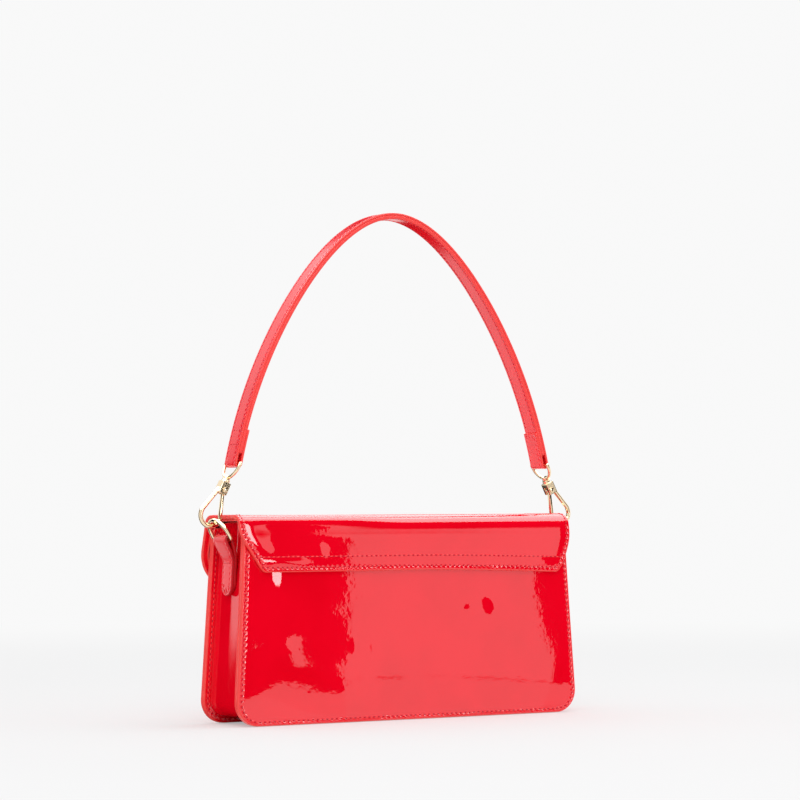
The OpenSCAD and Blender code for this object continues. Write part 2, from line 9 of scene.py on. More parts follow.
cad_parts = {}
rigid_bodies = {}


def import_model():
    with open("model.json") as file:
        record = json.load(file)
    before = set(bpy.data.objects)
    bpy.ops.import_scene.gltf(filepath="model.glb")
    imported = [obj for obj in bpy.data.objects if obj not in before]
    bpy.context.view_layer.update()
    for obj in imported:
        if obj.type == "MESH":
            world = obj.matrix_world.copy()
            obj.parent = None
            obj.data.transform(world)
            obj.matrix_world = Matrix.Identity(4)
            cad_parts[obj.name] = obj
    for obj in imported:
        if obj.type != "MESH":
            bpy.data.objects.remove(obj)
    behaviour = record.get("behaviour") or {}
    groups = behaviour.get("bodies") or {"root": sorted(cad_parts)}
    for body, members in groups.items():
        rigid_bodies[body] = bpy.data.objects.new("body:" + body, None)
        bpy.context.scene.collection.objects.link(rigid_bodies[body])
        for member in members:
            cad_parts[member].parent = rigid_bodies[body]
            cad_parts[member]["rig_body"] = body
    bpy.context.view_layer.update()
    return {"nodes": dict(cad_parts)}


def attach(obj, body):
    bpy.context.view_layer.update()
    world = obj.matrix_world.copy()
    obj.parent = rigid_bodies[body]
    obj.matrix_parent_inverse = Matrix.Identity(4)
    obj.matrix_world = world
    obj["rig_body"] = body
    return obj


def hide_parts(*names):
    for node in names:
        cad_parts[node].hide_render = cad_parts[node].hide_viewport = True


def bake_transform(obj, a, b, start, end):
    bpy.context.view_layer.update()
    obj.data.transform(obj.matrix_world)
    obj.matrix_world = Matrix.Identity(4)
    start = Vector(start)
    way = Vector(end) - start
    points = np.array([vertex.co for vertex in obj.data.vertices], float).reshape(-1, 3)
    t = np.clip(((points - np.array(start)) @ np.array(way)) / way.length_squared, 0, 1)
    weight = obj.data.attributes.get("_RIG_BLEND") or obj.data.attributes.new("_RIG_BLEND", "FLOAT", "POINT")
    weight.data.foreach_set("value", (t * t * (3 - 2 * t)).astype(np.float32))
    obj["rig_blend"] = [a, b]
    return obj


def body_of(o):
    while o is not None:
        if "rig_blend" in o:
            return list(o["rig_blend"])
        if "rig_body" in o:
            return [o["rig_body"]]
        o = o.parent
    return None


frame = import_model()

# Sizes of the bag in millimetres, the same as in the part's source
MM = 0.001

# Panels and gusset
BOTTOM_W, TOP_W = 296.0, 279.0
PANEL_H, CREASE_Z = 140.7, 141.0
FOOT_HALF_DEPTH, DEPTH_TAPER = 28.0, 0.02
CORNER_R, TOP_CORNER_R = 17.0, 5.0
PANEL_T, GUSSET_T, FLANGE_W, GUSSET_DROP = 4.0, 1.6, 5.0, 1.0
SIDE_SLOPE = (BOTTOM_W - TOP_W) / 2 / PANEL_H

# Flap: FLAP_WIDE is the place of the corner that its side would have if it were not rounded
FLAP_T, SHOULDER_R, FLAP_FRONT_Y = 3.0, 9.0, -31.0
FLAP_HALF_W, ANCHOR_Z, ANCHOR_SIDE_R = 139.3, 109.0, 48.0
FLAP_LOW_Z, FLAP_LOW_HALF_W, FLAP_WIDE = 62.0, 97.0, (143.6, 113.5)
FLAP_SIDE_R, FLAP_CORNER_R = 24.0, 24.0

# The bar of the left ring, as x and z, and the tab that is sewn round it
BAR = (143.089, 132.6)
RING_WIRE_R, BAR_PLAY = 1.5, 0.1
TAB_T, TAB_LOOP_W, TAB_W, TAB_LEN, TAB_RISE = 2.0, 19.4, 15.4, 40.0, 14.5

# The bar of the left eye, as x and z, and the strap that is sewn round it
EYE_BAR = (134.487, 187.034)
EYE_WIRE_R, EYE_PLAY = 1.25, 0.15
STRAP_W, STRAP_SKIN_T = 16.0, 1.6
STRAP_RISE, STRAP_LEAN, STRAP_EVEN, STRAP_POWER = 184.0, 12.0, 0.5, 7.5
FOLD_LEN = 27.0
LOOP_R = EYE_WIRE_R + EYE_PLAY + STRAP_SKIN_T / 2
STRAP_T = 2 * LOOP_R

# Stitches: THREAD_UP is how far the middle of a stitch lies above the leather
STITCH_PITCH, STITCH_INSET, STRAP_STITCH_INSET = 3.95, 3.0, 2.3
SEAM_Z, TAB_SEAM_Z = (112.6, 120.0), 115.5
THREAD_UP = 0.03

# The studio that the gloss shows: azimuths from +Y towards +X and heights of rise, in degrees
CARD = (-36.1, -31.4)
CARD_GAP, LOW_GAP, ABOVE_CARD = (-48, CARD[0]), (CARD[1], -21), (-62, -14)
WALL_GAPS = [(-172, -150), (27, 39), (108, 152)]
SPARK = (-27.0, -22.5)
CARD_TOP, DARK_TOP = 6.5, 31.0
WALL_GLOW, SPARK_GLOW, CEILING_GLOW = 1.15, 8.0, 4.6
BACKDROP_GLOW, ROOM_LIGHT = 0.945, 0.95

# The far edge of the floor in the gloss, in metres, and where it comes nearer beside the card
FLOOR_EDGE, NEARER_EDGE = 0.95, 0.62


# Outlines

def side_x(z):
    """Half the bag's width at a height."""
    return BOTTOM_W / 2 - z * SIDE_SLOPE


def face_y(z):
    """How far the outer face of a panel lies from the bag's middle at a height."""
    return FOOT_HALF_DEPTH - DEPTH_TAPER * z


def arc(centre, r, a0, a1, n):
    angles = np.radians(np.linspace(a0, a1, n + 1))
    return [(centre[0] + r * math.cos(a), centre[1] + r * math.sin(a)) for a in angles]


def corner(p0, p, p1, r, steps):
    """The arc that rounds corner p of an outline."""
    p0, p, p1 = (np.array(q, float) for q in (p0, p, p1))
    d0 = (p0 - p) / np.linalg.norm(p0 - p)
    d1 = (p1 - p) / np.linalg.norm(p1 - p)
    half = math.acos(float(d0 @ d1)) / 2
    centre = p + (d0 + d1) / np.linalg.norm(d0 + d1) * r / math.sin(half)
    start = p + d0 * r / math.tan(half) - centre
    end = p + d1 * r / math.tan(half) - centre
    a0 = math.degrees(math.atan2(start[1], start[0]))
    turn = (math.degrees(math.atan2(end[1], end[0])) - a0 + 180) % 360 - 180
    return arc(centre, r, a0, a0 + turn, steps)


def spaced(points, step):
    """Adds points along the straight stretches, so that none is longer than step."""
    out = [points[0]]
    for a, b in zip(points[:-1], points[1:]):
        a, b = np.array(a, float), np.array(b, float)
        n = max(1, int(math.ceil(np.linalg.norm(b - a) / step)))
        out += [tuple(a + (b - a) * i / n) for i in range(1, n + 1)]
    return out


def body_side(inset, top_z, top_r, step=3.0, steps=12):
    """The right side of a panel's outline, from its bottom corner to its top corner."""
    tan, sec = SIDE_SLOPE, math.sqrt(1 + SIDE_SLOPE ** 2)
    low = (BOTTOM_W / 2 - inset * sec - inset * tan, inset)
    high = (BOTTOM_W / 2 - inset * sec - top_z * tan, top_z)
    points = corner((0, inset), low, high, CORNER_R - inset, steps)
    if top_r > 0:
        points += corner(low, high, (0, top_z), top_r, steps // 2)
    else:
        points.append(high)
    return spaced(points, step)


# Meshes

def waves(points, seed, scale, low=30.0, high=120.0, count=14):
    """A smooth random height at each point, from waves of fixed phases."""
    draw = np.random.RandomState(seed)
    total = np.zeros(points.shape[:-1])
    for _ in range(count):
        length = low * (high / low) ** draw.rand()
        direction = draw.randn(3)
        direction /= np.linalg.norm(direction)
        phase = draw.rand() * 2 * math.pi
        total += (length / high) ** 1.1 * np.sin(points @ direction * 2 * math.pi / length + phase)
    return total * scale / math.sqrt(count)


def across(cols, closeness=0.8):
    """Places across a sheet from -1 to 1, closer together towards its edges."""
    u = np.linspace(-1, 1, cols)
    return u * (1 - closeness) + closeness * np.sin(u * math.pi / 2)


def dents(x, z, marks):
    """Height of some shallow dents and swellings at each place."""
    total = np.zeros_like(x)
    for x0, z0, rx, rz, turn, height in marks:
        c, s = math.cos(math.radians(turn)), math.sin(math.radians(turn))
        u = ((x - x0) * c + (z - z0) * s) / rx
        v = ((z - z0) * c - (x - x0) * s) / rz
        total += height * np.exp(-u * u - v * v)
    return total


def smooth_step(value, low, high):
    t = np.clip((value - low) / (high - low), 0, 1)
    return t * t * (3 - 2 * t)


def grid_normals(mid, side):
    normal = np.cross(np.gradient(mid, axis=1), np.gradient(mid, axis=0)) * side
    return normal / np.maximum(np.linalg.norm(normal, axis=2, keepdims=True), 1e-9)


def rim_loop(rows, cols):
    loop = [(0, j) for j in range(cols)]
    loop += [(i, cols - 1) for i in range(1, rows)]
    loop += [(rows - 1, j) for j in range(cols - 2, -1, -1)]
    loop += [(i, 0) for i in range(rows - 2, 0, -1)]
    return loop


def rim_outward(mid, normal, loop, cut):
    """For each point of the rim, the direction out of the sheet; nothing where the sheet is cut."""
    rows, cols = mid.shape[:2]
    sides = {
        "first": lambda i, j: i == 0, "last": lambda i, j: i == rows - 1,
        "left": lambda i, j: j == 0, "right": lambda i, j: j == cols - 1,
    }
    out = np.zeros((len(loop), 3))
    for k, (i, j) in enumerate(loop):
        for name, holds in sides.items():
            if not holds(i, j) or name in cut:
                continue
            if name in ("first", "last"):
                tangent = mid[i, min(j + 1, cols - 1)] - mid[i, max(j - 1, 0)]
                inward = mid[1 if i == 0 else rows - 2, j] - mid[i, j]
            else:
                tangent = mid[min(i + 1, rows - 1), j] - mid[max(i - 1, 0), j]
                inward = mid[i, 1 if j == 0 else cols - 2] - mid[i, j]
            direction = np.cross(tangent, normal[i, j])
            direction /= max(np.linalg.norm(direction), 1e-9)
            out[k] += direction * (-1 if direction @ inward > 0 else 1)
    size = np.linalg.norm(out, axis=1, keepdims=True)
    return np.where(size > 1e-6, out / np.maximum(size, 1e-9), 0)


def new_object(name, verts, faces, finishes, material_index=None, attributes=None, smooth=True):
    mesh = bpy.data.meshes.new(name)
    mesh.from_pydata([tuple(v) for v in np.asarray(verts) * MM], [], [tuple(f) for f in faces])
    for finish in finishes:
        mesh.materials.append(finish)
    if material_index is not None:
        mesh.polygons.foreach_set("material_index", np.asarray(material_index, dtype=np.int32))
    mesh.polygons.foreach_set("use_smooth", np.full(len(mesh.polygons), smooth))
    for key, values in (attributes or {}).items():
        mesh.attributes.new(key, "FLOAT", "POINT").data.foreach_set("value", np.asarray(values, np.float32))
    mesh.update()
    obj = bpy.data.objects.new(name, mesh)
    bpy.context.scene.collection.objects.link(obj)
    return obj


def turned_over(face):
    return face[:1] + face[:0:-1]


def sheet_faces(rows, cols, edge_on, rim_steps, side):
    """The faces of a closed sheet and the finish of each: 0 outer face, 1 inner face, 2 edge."""
    faces, finishes = [], []
    for i in range(rows - 1):
        for j in range(cols - 1):
            a = i * cols + j
            outer = (a, a + 1, a + cols + 1, a + cols)
            inner = tuple(q + rows * cols for q in outer)
            faces += [outer, turned_over(inner)] if side > 0 else [turned_over(outer), inner]
            finishes += [0, 1]
    n = len(edge_on)
    base = 2 * rows * cols
    levels = [list(edge_on)]
    levels += [list(range(base + k * n, base + (k + 1) * n)) for k in range(rim_steps - 1)]
    levels.append(list(edge_on + rows * cols))
    for upper, lower in zip(levels[:-1], levels[1:]):
        for k in range(n):
            m = (k + 1) % n
            quad = (upper[k], lower[k], lower[m], upper[m])
            faces.append(quad if side > 0 else quad[::-1])
            finishes.append(2)
    return faces, finishes


def seam_places(points, rim, outward, dome, batch=2000):
    """Each point's distance to the sheet's edge and its place along it, for the pattern of the seams."""
    real = np.linalg.norm(outward, axis=1) > 0
    edge = rim[real] + outward[real] * dome
    steps = np.linalg.norm(np.diff(rim, axis=0, append=rim[:1]), axis=1)
    place = np.concatenate([[0], np.cumsum(steps)[:-1]])[real]
    inset, along = np.zeros(len(points)), np.zeros(len(points))
    for start in range(0, len(points), batch):
        part = slice(start, start + batch)
        gap = np.linalg.norm(points[part, None, :] - edge[None], axis=2)
        inset[part] = gap.min(axis=1)
        along[part] = place[gap.argmin(axis=1)]
    return inset, along


def leather_sheet(name, mid, side, thickness, dome, finishes, cut=(), normal=None, lift=None,
                  rim_steps=6, fullness=0.75):
    """A closed sheet with domed edges. finishes: outer face, inner face, edge."""
    mid = np.asarray(mid, float)
    rows, cols = mid.shape[:2]
    normal = grid_normals(mid, side) if normal is None else normal
    lift = np.zeros((rows, cols)) if lift is None else lift
    half = thickness / 2
    loop = rim_loop(rows, cols)
    edge_on = np.array([i * cols + j for i, j in loop])
    outward = rim_outward(mid, normal, loop, cut)
    rim_mid, rim_normal = mid.reshape(-1, 3)[edge_on], normal.reshape(-1, 3)[edge_on]
    rim_lift = lift.reshape(-1)[edge_on]
    outer = mid + normal * (half + lift)[..., None]
    inner = mid - normal * half
    verts = [outer.reshape(-1, 3), inner.reshape(-1, 3)]
    for k in range(1, rim_steps):
        a = math.pi / 2 - math.pi * k / rim_steps
        reach = dome * abs(math.cos(a)) ** fullness
        rise = math.copysign(abs(math.sin(a)) ** fullness, math.sin(a))
        top = half + rim_lift if rise > 0 else np.full(len(loop), half)
        verts.append(rim_mid + outward * reach + rim_normal * (rise * top)[:, None])
    faces, face_finishes = sheet_faces(rows, cols, edge_on, rim_steps, side)
    inset, along = seam_places(mid.reshape(-1, 3), rim_mid, outward, dome)
    attributes = {
        "inset": np.concatenate([inset, inset] + [np.zeros(len(loop))] * (rim_steps - 1)),
        "along": np.concatenate([along, along] + [along[edge_on]] * (rim_steps - 1)),
    }
    return new_object(name, np.concatenate(verts), faces, finishes, face_finishes, attributes)


def fit(piece, body, slot, *nodes):
    """Puts a piece on its body and hides the nodes of the part that it stands for. slot, the name of its
    finish, is not used.
    """
    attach(piece, body)
    if nodes:
        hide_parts(*nodes)


# Finishes

class Amount:
    """A number that varies over a surface. The usual operators add Math nodes."""

    def __init__(self, finish, socket):
        self.finish, self.socket = finish, socket

    def _math(self, operation, *values):
        node = self.finish.add("ShaderNodeMath", {"operation": operation}, dict(enumerate(values)))
        return Amount(self.finish, node.outputs[0])

    def __add__(self, other):
        return self._math("ADD", self, other)

    def __sub__(self, other):
        return self._math("SUBTRACT", self, other)

    def __rsub__(self, other):
        return self._math("SUBTRACT", other, self)

    def __mul__(self, other):
        return self._math("MULTIPLY", self, other)

    def __truediv__(self, other):
        return self._math("DIVIDE", self, other)

    def __pow__(self, other):
        return self._math("POWER", self, other)

    def azimuth(self, other):
        """The direction of a place in degrees, from the other axis towards this one."""
        return self._math("ARCTAN2", self, other) * (180 / math.pi)

    def sine(self):
        return self._math("SINE", self)

    def size(self):
        return self._math("ABSOLUTE", self)

    def highest(self, other):
        return self._math("MAXIMUM", self, other)

    def bell(self, middle, width):
        """1 at middle, falling to 0 on both sides."""
        offset = (self - middle) / width
        return self._math("EXPONENT", offset * offset * -1)

    def step(self, low, high):
        """0 below low, 1 above high, and smooth between them."""
        node = self.finish.add(
            "ShaderNodeMapRange", {"interpolation_type": "SMOOTHSTEP", "clamp": True},
            {"Value": self, "From Min": low, "From Max": high},
        )
        return Amount(self.finish, node.outputs["Result"])

    __radd__ = __add__
    __rmul__ = __mul__


class Finish:
    """The nodes of one material, or of the world."""

    def __init__(self, name, owner=None):
        self.owner = owner or bpy.data.materials.new(name)
        self.owner.use_nodes = True
        self.tree = self.owner.node_tree
        self.tree.nodes.clear()

    def add(self, kind, settings=None, inputs=None):
        node = self.tree.nodes.new(kind)
        for key, value in (settings or {}).items():
            if key == "stops":
                ramp = node.color_ramp
                while len(ramp.elements) < len(value):
                    ramp.elements.new(0.5)
                for element, (place, colour) in zip(ramp.elements, value):
                    element.position, element.color = place, (*colour, 1)
            else:
                setattr(node, key, value)
        for key, value in (inputs or {}).items():
            if isinstance(value, Amount):
                self.tree.links.new(value.socket, node.inputs[key])
            elif isinstance(value, bpy.types.NodeSocket):
                self.tree.links.new(value, node.inputs[key])
            else:
                node.inputs[key].default_value = value
        return node

    def place(self):
        return self.add("ShaderNodeTexCoord").outputs["Object"]

    def axes(self, place):
        split = self.add("ShaderNodeSeparateXYZ", {}, {0: place})
        return [Amount(self, socket) for socket in split.outputs]

    def ray(self, kind):
        """1 for the rays of one kind, such as Camera or Glossy."""
        return Amount(self, self.add("ShaderNodeLightPath").outputs["Is " + kind + " Ray"])

    def attribute(self, name):
        return Amount(self, self.add("ShaderNodeAttribute", {"attribute_name": name}).outputs["Fac"])

    def noise(self, scale, detail=2.0, roughness=0.5, vector=None):
        node = self.add("ShaderNodeTexNoise", {}, {
            "Vector": vector or self.place(), "Scale": scale, "Detail": detail, "Roughness": roughness})
        return Amount(self, node.outputs["Fac"])

    def mixed(self, factor, a, b):
        node = self.add("ShaderNodeMix", {"data_type": "RGBA"}, {})
        sockets = [s for s in node.inputs if s.enabled]
        for socket, value in zip(sockets, (factor, a, b)):
            if isinstance(value, (Amount, bpy.types.NodeSocket)):
                self.tree.links.new(getattr(value, "socket", value), socket)
            else:
                socket.default_value = value
        return [s for s in node.outputs if s.enabled][0]

    def bump(self, height, strength, distance, below=None):
        inputs = {"Height": height, "Strength": strength, "Distance": distance}
        if below is not None:
            inputs["Normal"] = below
        return self.add("ShaderNodeBump", {}, inputs).outputs["Normal"]

    def surface(self, **inputs):
        named = {key.replace("_", " ").title().replace("Ior", "IOR"): value for key, value in inputs.items()}
        shader = self.add("ShaderNodeBsdfPrincipled", {}, named)
        self.add("ShaderNodeOutputMaterial", {}, {"Surface": shader.outputs[0]})
        return self.owner


def rgb(r, g, b):
    return (r, g, b, 1.0)


# The varnish's smaller waves as shares of its ripple, and the width and depth of its pucker at a seam
PEEL_SHARE, GRAIN_SHARE = 0.6, 0.26
PUCKER_W, PUCKER_DEPTH = 1.1, 0.16


def make_patent(name, colour, deep, ripple, seam=0.0, haze=0.012):
    """Varnished leather: a clear mirror-smooth skin that ripples a little and puckers at its seam."""
    f = Finish(name)
    drift = f.noise(22.0, 3.0)
    swell = f.noise(38.0, 2.0, 0.4)
    peel = f.noise(130.0, 1.5, 0.5)
    base = f.mixed(drift.step(0.35, 0.7), rgb(*colour), rgb(*deep))
    grain = f.noise(330.0, 1.0, 0.5)
    height = swell * ripple + peel * (ripple * PEEL_SHARE) + grain * (ripple * GRAIN_SHARE)
    if seam:
        inset, along = f.attribute("inset"), f.attribute("along")
        beat = (along * (2 * math.pi / STITCH_PITCH)).sine() * 0.5 + 0.5
        height = height + inset.bell(seam, PUCKER_W) * (beat * PUCKER_DEPTH - PUCKER_DEPTH)
    return f.surface(
        base_color=base, roughness=drift * 0.012 + haze, ior=1.68, normal=f.bump(height, 1.0, MM))


def make_edge_paint(name, light, dark):
    f = Finish(name)
    mottle = f.noise(260.0, 3.0)
    base = f.mixed(mottle, rgb(*light), rgb(*dark))
    return f.surface(base_color=base, roughness=mottle * 0.15 + 0.32, specular_ior_level=0.35,
                     normal=f.bump(mottle, 0.4, 0.15 * MM))


def make_thread(name, light, dark):
    f = Finish(name)
    twist = f.noise(4200.0, 1.0)
    base = f.mixed(twist, rgb(*light), rgb(*dark))
    return f.surface(base_color=base, roughness=twist * 0.1 + 0.45, specular_ior_level=0.2,
                     normal=f.bump(twist, 0.25, 0.02 * MM))


def make_twill():
    f = Finish("lining_twill")
    x, y, z = f.axes(f.place())
    warp = ((x + y + z) * 5200.0).sine()
    weft = ((z - x * 0.35 - y * 0.35) * 7400.0).sine()
    weave = warp * 0.5 + weft * 0.35 + 0.5
    cloud = f.noise(60.0, 3.0)
    base = f.mixed(weave.step(0.1, 0.95), rgb(0.16, 0.006, 0.012), rgb(0.36, 0.015, 0.028))
    base = f.mixed(cloud.step(0.3, 0.8) * 0.35, base, rgb(0.42, 0.03, 0.045))
    return f.surface(base_color=base, roughness=0.72, sheen_weight=0.35, sheen_roughness=0.4,
                     normal=f.bump(weave, 0.5, 0.12 * MM))


def make_gold():
    f = Finish("pale_gold")
    drift = f.noise(300.0, 2.0)
    fine = f.noise(2600.0, 3.0)
    base = f.mixed(drift, rgb(0.84, 0.68, 0.46), rgb(0.78, 0.61, 0.4))
    return f.surface(base_color=base, metallic=1.0, roughness=fine * 0.06 + 0.07,
                     normal=f.bump(fine, 0.06, 0.05 * MM))


def make_steel():
    f = Finish("spring_steel")
    fine = f.noise(1800.0, 3.0)
    base = f.mixed(fine, rgb(0.55, 0.55, 0.57), rgb(0.42, 0.42, 0.44))
    return f.surface(base_color=base, metallic=1.0, roughness=fine * 0.12 + 0.22)


def make_board():
    f = Finish("fibre_board")
    fibre = f.noise(700.0, 5.0, 0.65)
    base = f.mixed(fibre, rgb(0.4, 0.33, 0.24), rgb(0.26, 0.21, 0.15))
    return f.surface(base_color=base, roughness=0.85, normal=f.bump(fibre, 0.5, 0.2 * MM))


RED, DEEP_RED = (0.88, 0.0009, 0.0142), (0.82, 0.0007, 0.0115)
STRAP_RED, DEEP_STRAP_RED = (0.92, 0.006, 0.018), (0.86, 0.005, 0.015)
PATENT = make_patent("patent_leather", RED, DEEP_RED, 0.02, STITCH_INSET)
PLAIN_PATENT = make_patent("patent_leather_plain", RED, DEEP_RED, 0.02)
STRAP_LEATHER = make_patent("strap_leather", STRAP_RED, DEEP_STRAP_RED, 0.03, STRAP_STITCH_INSET, 0.2)
EDGE = make_edge_paint("edge_paint", (0.95, 0.07, 0.06), (0.88, 0.05, 0.045))
# The tabs' edge paint is darker than the other edges: edge paint together with painted shade of the gusset
# beside the tab
TAB_EDGE_PAINT_AND_SHADE = make_edge_paint("tab_edge_paint_and_shade", (0.56, 0.008, 0.016), (0.45, 0.005, 0.012))
THREAD = make_thread("red_thread", (0.94, 0.1, 0.1), (0.86, 0.06, 0.065))
# Dark red for the flat beads between the stitches: painted shade of the needle holes
NEEDLE_HOLE_SHADE = make_thread("needle_hole_shade", (0.62, 0.004, 0.024), (0.5, 0.003, 0.02))
TWILL = make_twill()
GOLD = make_gold()
STEEL = make_steel()
BOARD = make_board()


# Thread

def thread_tree():
    """Stitches along polylines: each lies along its row and faces the way the row says."""
    tree = bpy.data.node_groups.new("thread_rows", "GeometryNodeTree")
    face = tree.interface
    face.new_socket("Rows", in_out="INPUT", socket_type="NodeSocketGeometry")
    ids = {}
    for label in ("Pitch", "Stitch Length", "Width", "Height", "Slant"):
        ids[label] = face.new_socket(label, in_out="INPUT", socket_type="NodeSocketFloat").identifier
    for label in ("Thread Finish", "Hole Shade Finish"):
        ids[label] = face.new_socket(label, in_out="INPUT", socket_type="NodeSocketMaterial").identifier
    face.new_socket("Thread", in_out="OUTPUT", socket_type="NodeSocketGeometry")

    def add(kind, settings=None, inputs=None):
        node = tree.nodes.new(kind)
        for key, value in (settings or {}).items():
            setattr(node, key, value)
        for key, value in (inputs or {}).items():
            if isinstance(value, bpy.types.NodeSocket):
                tree.links.new(value, node.inputs[key])
            else:
                node.inputs[key].default_value = value
        return node

    given = add("NodeGroupInput")
    curve = add("GeometryNodeMeshToCurve", {}, {"Mesh": given.outputs["Rows"]})
    evenly = add("GeometryNodeResampleCurve", {"mode": "LENGTH"},
                 {"Curve": curve.outputs[0], "Length": given.outputs["Pitch"]})
    facing = add("GeometryNodeInputNamedAttribute", {"data_type": "FLOAT_VECTOR"}, {"Name": "facing"})
    tangent = add("GeometryNodeInputTangent")
    turned = add("FunctionNodeAxesToRotation", {"primary_axis": "Z", "secondary_axis": "X"},
                 {"Primary Axis": facing.outputs["Attribute"], "Secondary Axis": tangent.outputs[0]})
    slant_angle = add("ShaderNodeCombineXYZ", {}, {"Z": given.outputs["Slant"]})
    slanted = add("FunctionNodeRotateRotation", {"rotation_space": "LOCAL"},
                  {"Rotation": turned.outputs[0], "Rotate By": slant_angle.outputs[0]})
    bead = add("GeometryNodeMeshUVSphere", {}, {"Segments": 8, "Rings": 6, "Radius": 0.5})
    shape = add("ShaderNodeCombineXYZ", {}, {
        "X": given.outputs["Stitch Length"], "Y": given.outputs["Width"], "Z": given.outputs["Height"]})
    stitch = add("GeometryNodeTransform", {}, {"Geometry": bead.outputs[0], "Scale": shape.outputs[0]})
    half = add("ShaderNodeMath", {"operation": "MULTIPLY"}, {0: given.outputs["Pitch"], 1: 0.5})
    halfway = add("ShaderNodeCombineXYZ", {}, {"X": half.outputs[0]})
    # Halfway between stitches a flat bead stands for the needle hole; its dark finish is painted shade
    pit_shape = add("ShaderNodeVectorMath", {"operation": "MULTIPLY"},
                    {0: shape.outputs[0], 1: (0.68, 1.75, 0.75)})
    pit = add("GeometryNodeTransform", {}, {
        "Geometry": bead.outputs[0], "Translation": halfway.outputs[0], "Scale": pit_shape.outputs[0]})
    marked = add("GeometryNodeStoreNamedAttribute", {"data_type": "FLOAT", "domain": "FACE"}, {
        "Geometry": pit.outputs[0], "Name": "pit", "Value": 1.0})
    pair = add("GeometryNodeJoinGeometry")
    for part in (stitch, marked):
        tree.links.new(part.outputs[0], pair.inputs[0])
    smooth = add("GeometryNodeSetShadeSmooth", {}, {"Geometry": pair.outputs[0]})
    placed = add("GeometryNodeInstanceOnPoints", {}, {
        "Points": evenly.outputs[0], "Instance": smooth.outputs[0], "Rotation": slanted.outputs[0]})
    real = add("GeometryNodeRealizeInstances", {}, {"Geometry": placed.outputs[0]})
    dyed = add("GeometryNodeSetMaterial", {}, {
        "Geometry": real.outputs[0], "Material": given.outputs["Thread Finish"]})
    is_pit = add("GeometryNodeInputNamedAttribute", {"data_type": "FLOAT"}, {"Name": "pit"})
    pitted = add("GeometryNodeSetMaterial", {}, {
        "Geometry": dyed.outputs[0], "Selection": is_pit.outputs["Attribute"],
        "Material": given.outputs["Hole Shade Finish"]})
    add("NodeGroupOutput", {}, {"Thread": pitted.outputs[0]})
    return tree, ids


THREAD_TREE, THREAD_IDS = thread_tree()


def thread(name, rows, pitch=STITCH_PITCH, length=2.5, width=0.75, height=0.42, slant=0.06):
    """Sews rows of stitches. rows: (points, facings) in mm; returns one plain mesh."""
    verts, edges, facings = [], [], []
    for points, facing in rows:
        start = len(verts)
        points = [np.asarray(p, float) for p in points]
        if callable(facing):
            facing = [facing(p) for p in points]
        elif np.ndim(facing) == 1:
            facing = [facing] * len(points)
        verts += [tuple(p * MM) for p in points]
        facings += [tuple(q) for q in facing]
        edges += [(start + k, start + k + 1) for k in range(len(points) - 1)]
    mesh = bpy.data.meshes.new(name + "_rows")
    mesh.from_pydata(verts, edges, [])
    mesh.attributes.new("facing", "FLOAT_VECTOR", "POINT").data.foreach_set(
        "vector", np.asarray(facings, np.float32).reshape(-1))
    holder = bpy.data.objects.new(name + "_rows", mesh)
    bpy.context.scene.collection.objects.link(holder)
    modifier = holder.modifiers.new("thread", "NODES")
    modifier.node_group = THREAD_TREE
    sizes = {"Pitch": pitch, "Stitch Length": length, "Width": width, "Height": height}
    for label, value in sizes.items():
        modifier[THREAD_IDS[label]] = value * MM
    modifier[THREAD_IDS["Slant"]] = slant
    modifier[THREAD_IDS["Thread Finish"]] = THREAD
    modifier[THREAD_IDS["Hole Shade Finish"]] = NEEDLE_HOLE_SHADE
    graph = bpy.context.evaluated_depsgraph_get()
    graph.update()
    sewn = bpy.data.meshes.new_from_object(holder.evaluated_get(graph))
    sewn.name = name
    holder.modifiers.remove(modifier)
    bpy.data.objects.remove(holder)
    obj = bpy.data.objects.new(name, sewn)
    bpy.context.scene.collection.objects.link(obj)
    return obj


# Body panels

def rows_between(profile, cols):
    """Rows of a symmetric outline: each runs from its left side to its right side."""
    return np.array([[(x, z) for x in across(cols) * half] for half, z in profile])


def round_boss(x, z):
    """A low boss with a flat top in the right half of the back panel."""
    x0, z0, half_w, half_h, height = -58, 80, 11, 7.6, 0.29
    r = np.hypot((x - x0) / half_w, (z - z0) / half_h)
    return height * np.exp(-r ** 4)


def soft_swell(x, z):
    """A broad swelling low on the back panel's left half, which fades slowly downward."""
    x0, z0, half_w, above, below, height = 116, 50, 20, 17, 28, 0.42
    fall = np.where(z > z0, ((z - z0) / above) ** 4, ((z - z0) / below) ** 2)
    return height * np.exp(-((x - x0) / half_w) ** 2 - fall)


def edge_hollow(x, z):
    """Beside the flap's lower left corner the back panel's edge is pressed in a little."""
    inner_x, outer_x, depth, slant = 109, 119, 0.32, 0.3
    t = np.clip((x - inner_x) / (outer_x - inner_x), 0, 1)
    across_edge = 0.6 * t + 0.4 * smooth_step(t, 0, 1)
    return -depth * across_edge * smooth_step(z + slant * (outer_x + 2 - x), 89, 109)


# Each dent or swelling: its place, its two radii, its turn and its height
BACK_DENTS = [
    (105, 20, 26, 12, 0, 0.1), (92, 37, 24, 9, 0, 0.13),
    (76, 81, 11, 7, 0, 0.05), (49, 54.8, 2.5, 4, 10, 0.06), (33, 50.8, 2.5, 6, 10, 0.07),
    (-135, 98, 20, 25, 0, -0.045), (-137, 25, 20, 20, 0, 0.035),
]
FLAP_DENTS = [(80.5, 124.5, 3.8, 3.6, 0, 0.21)]

# The waves of the varnish that show as ragged borders of its reflections
FINE_RIPPLE = {"seed": 5, "scale": 0.0016, "low": 7, "high": 16}

PANEL_DOME = 0.9
CROWN, CROWN_Z, CROWN_REACH = 0.6, 90, 62

# How far from the panel's foot its crown starts, and from its sides, foot and top its swells
CROWN_FOOT, EVEN_SIDE, EVEN_FOOT, EVEN_TOP = 8, 14, 10, 8


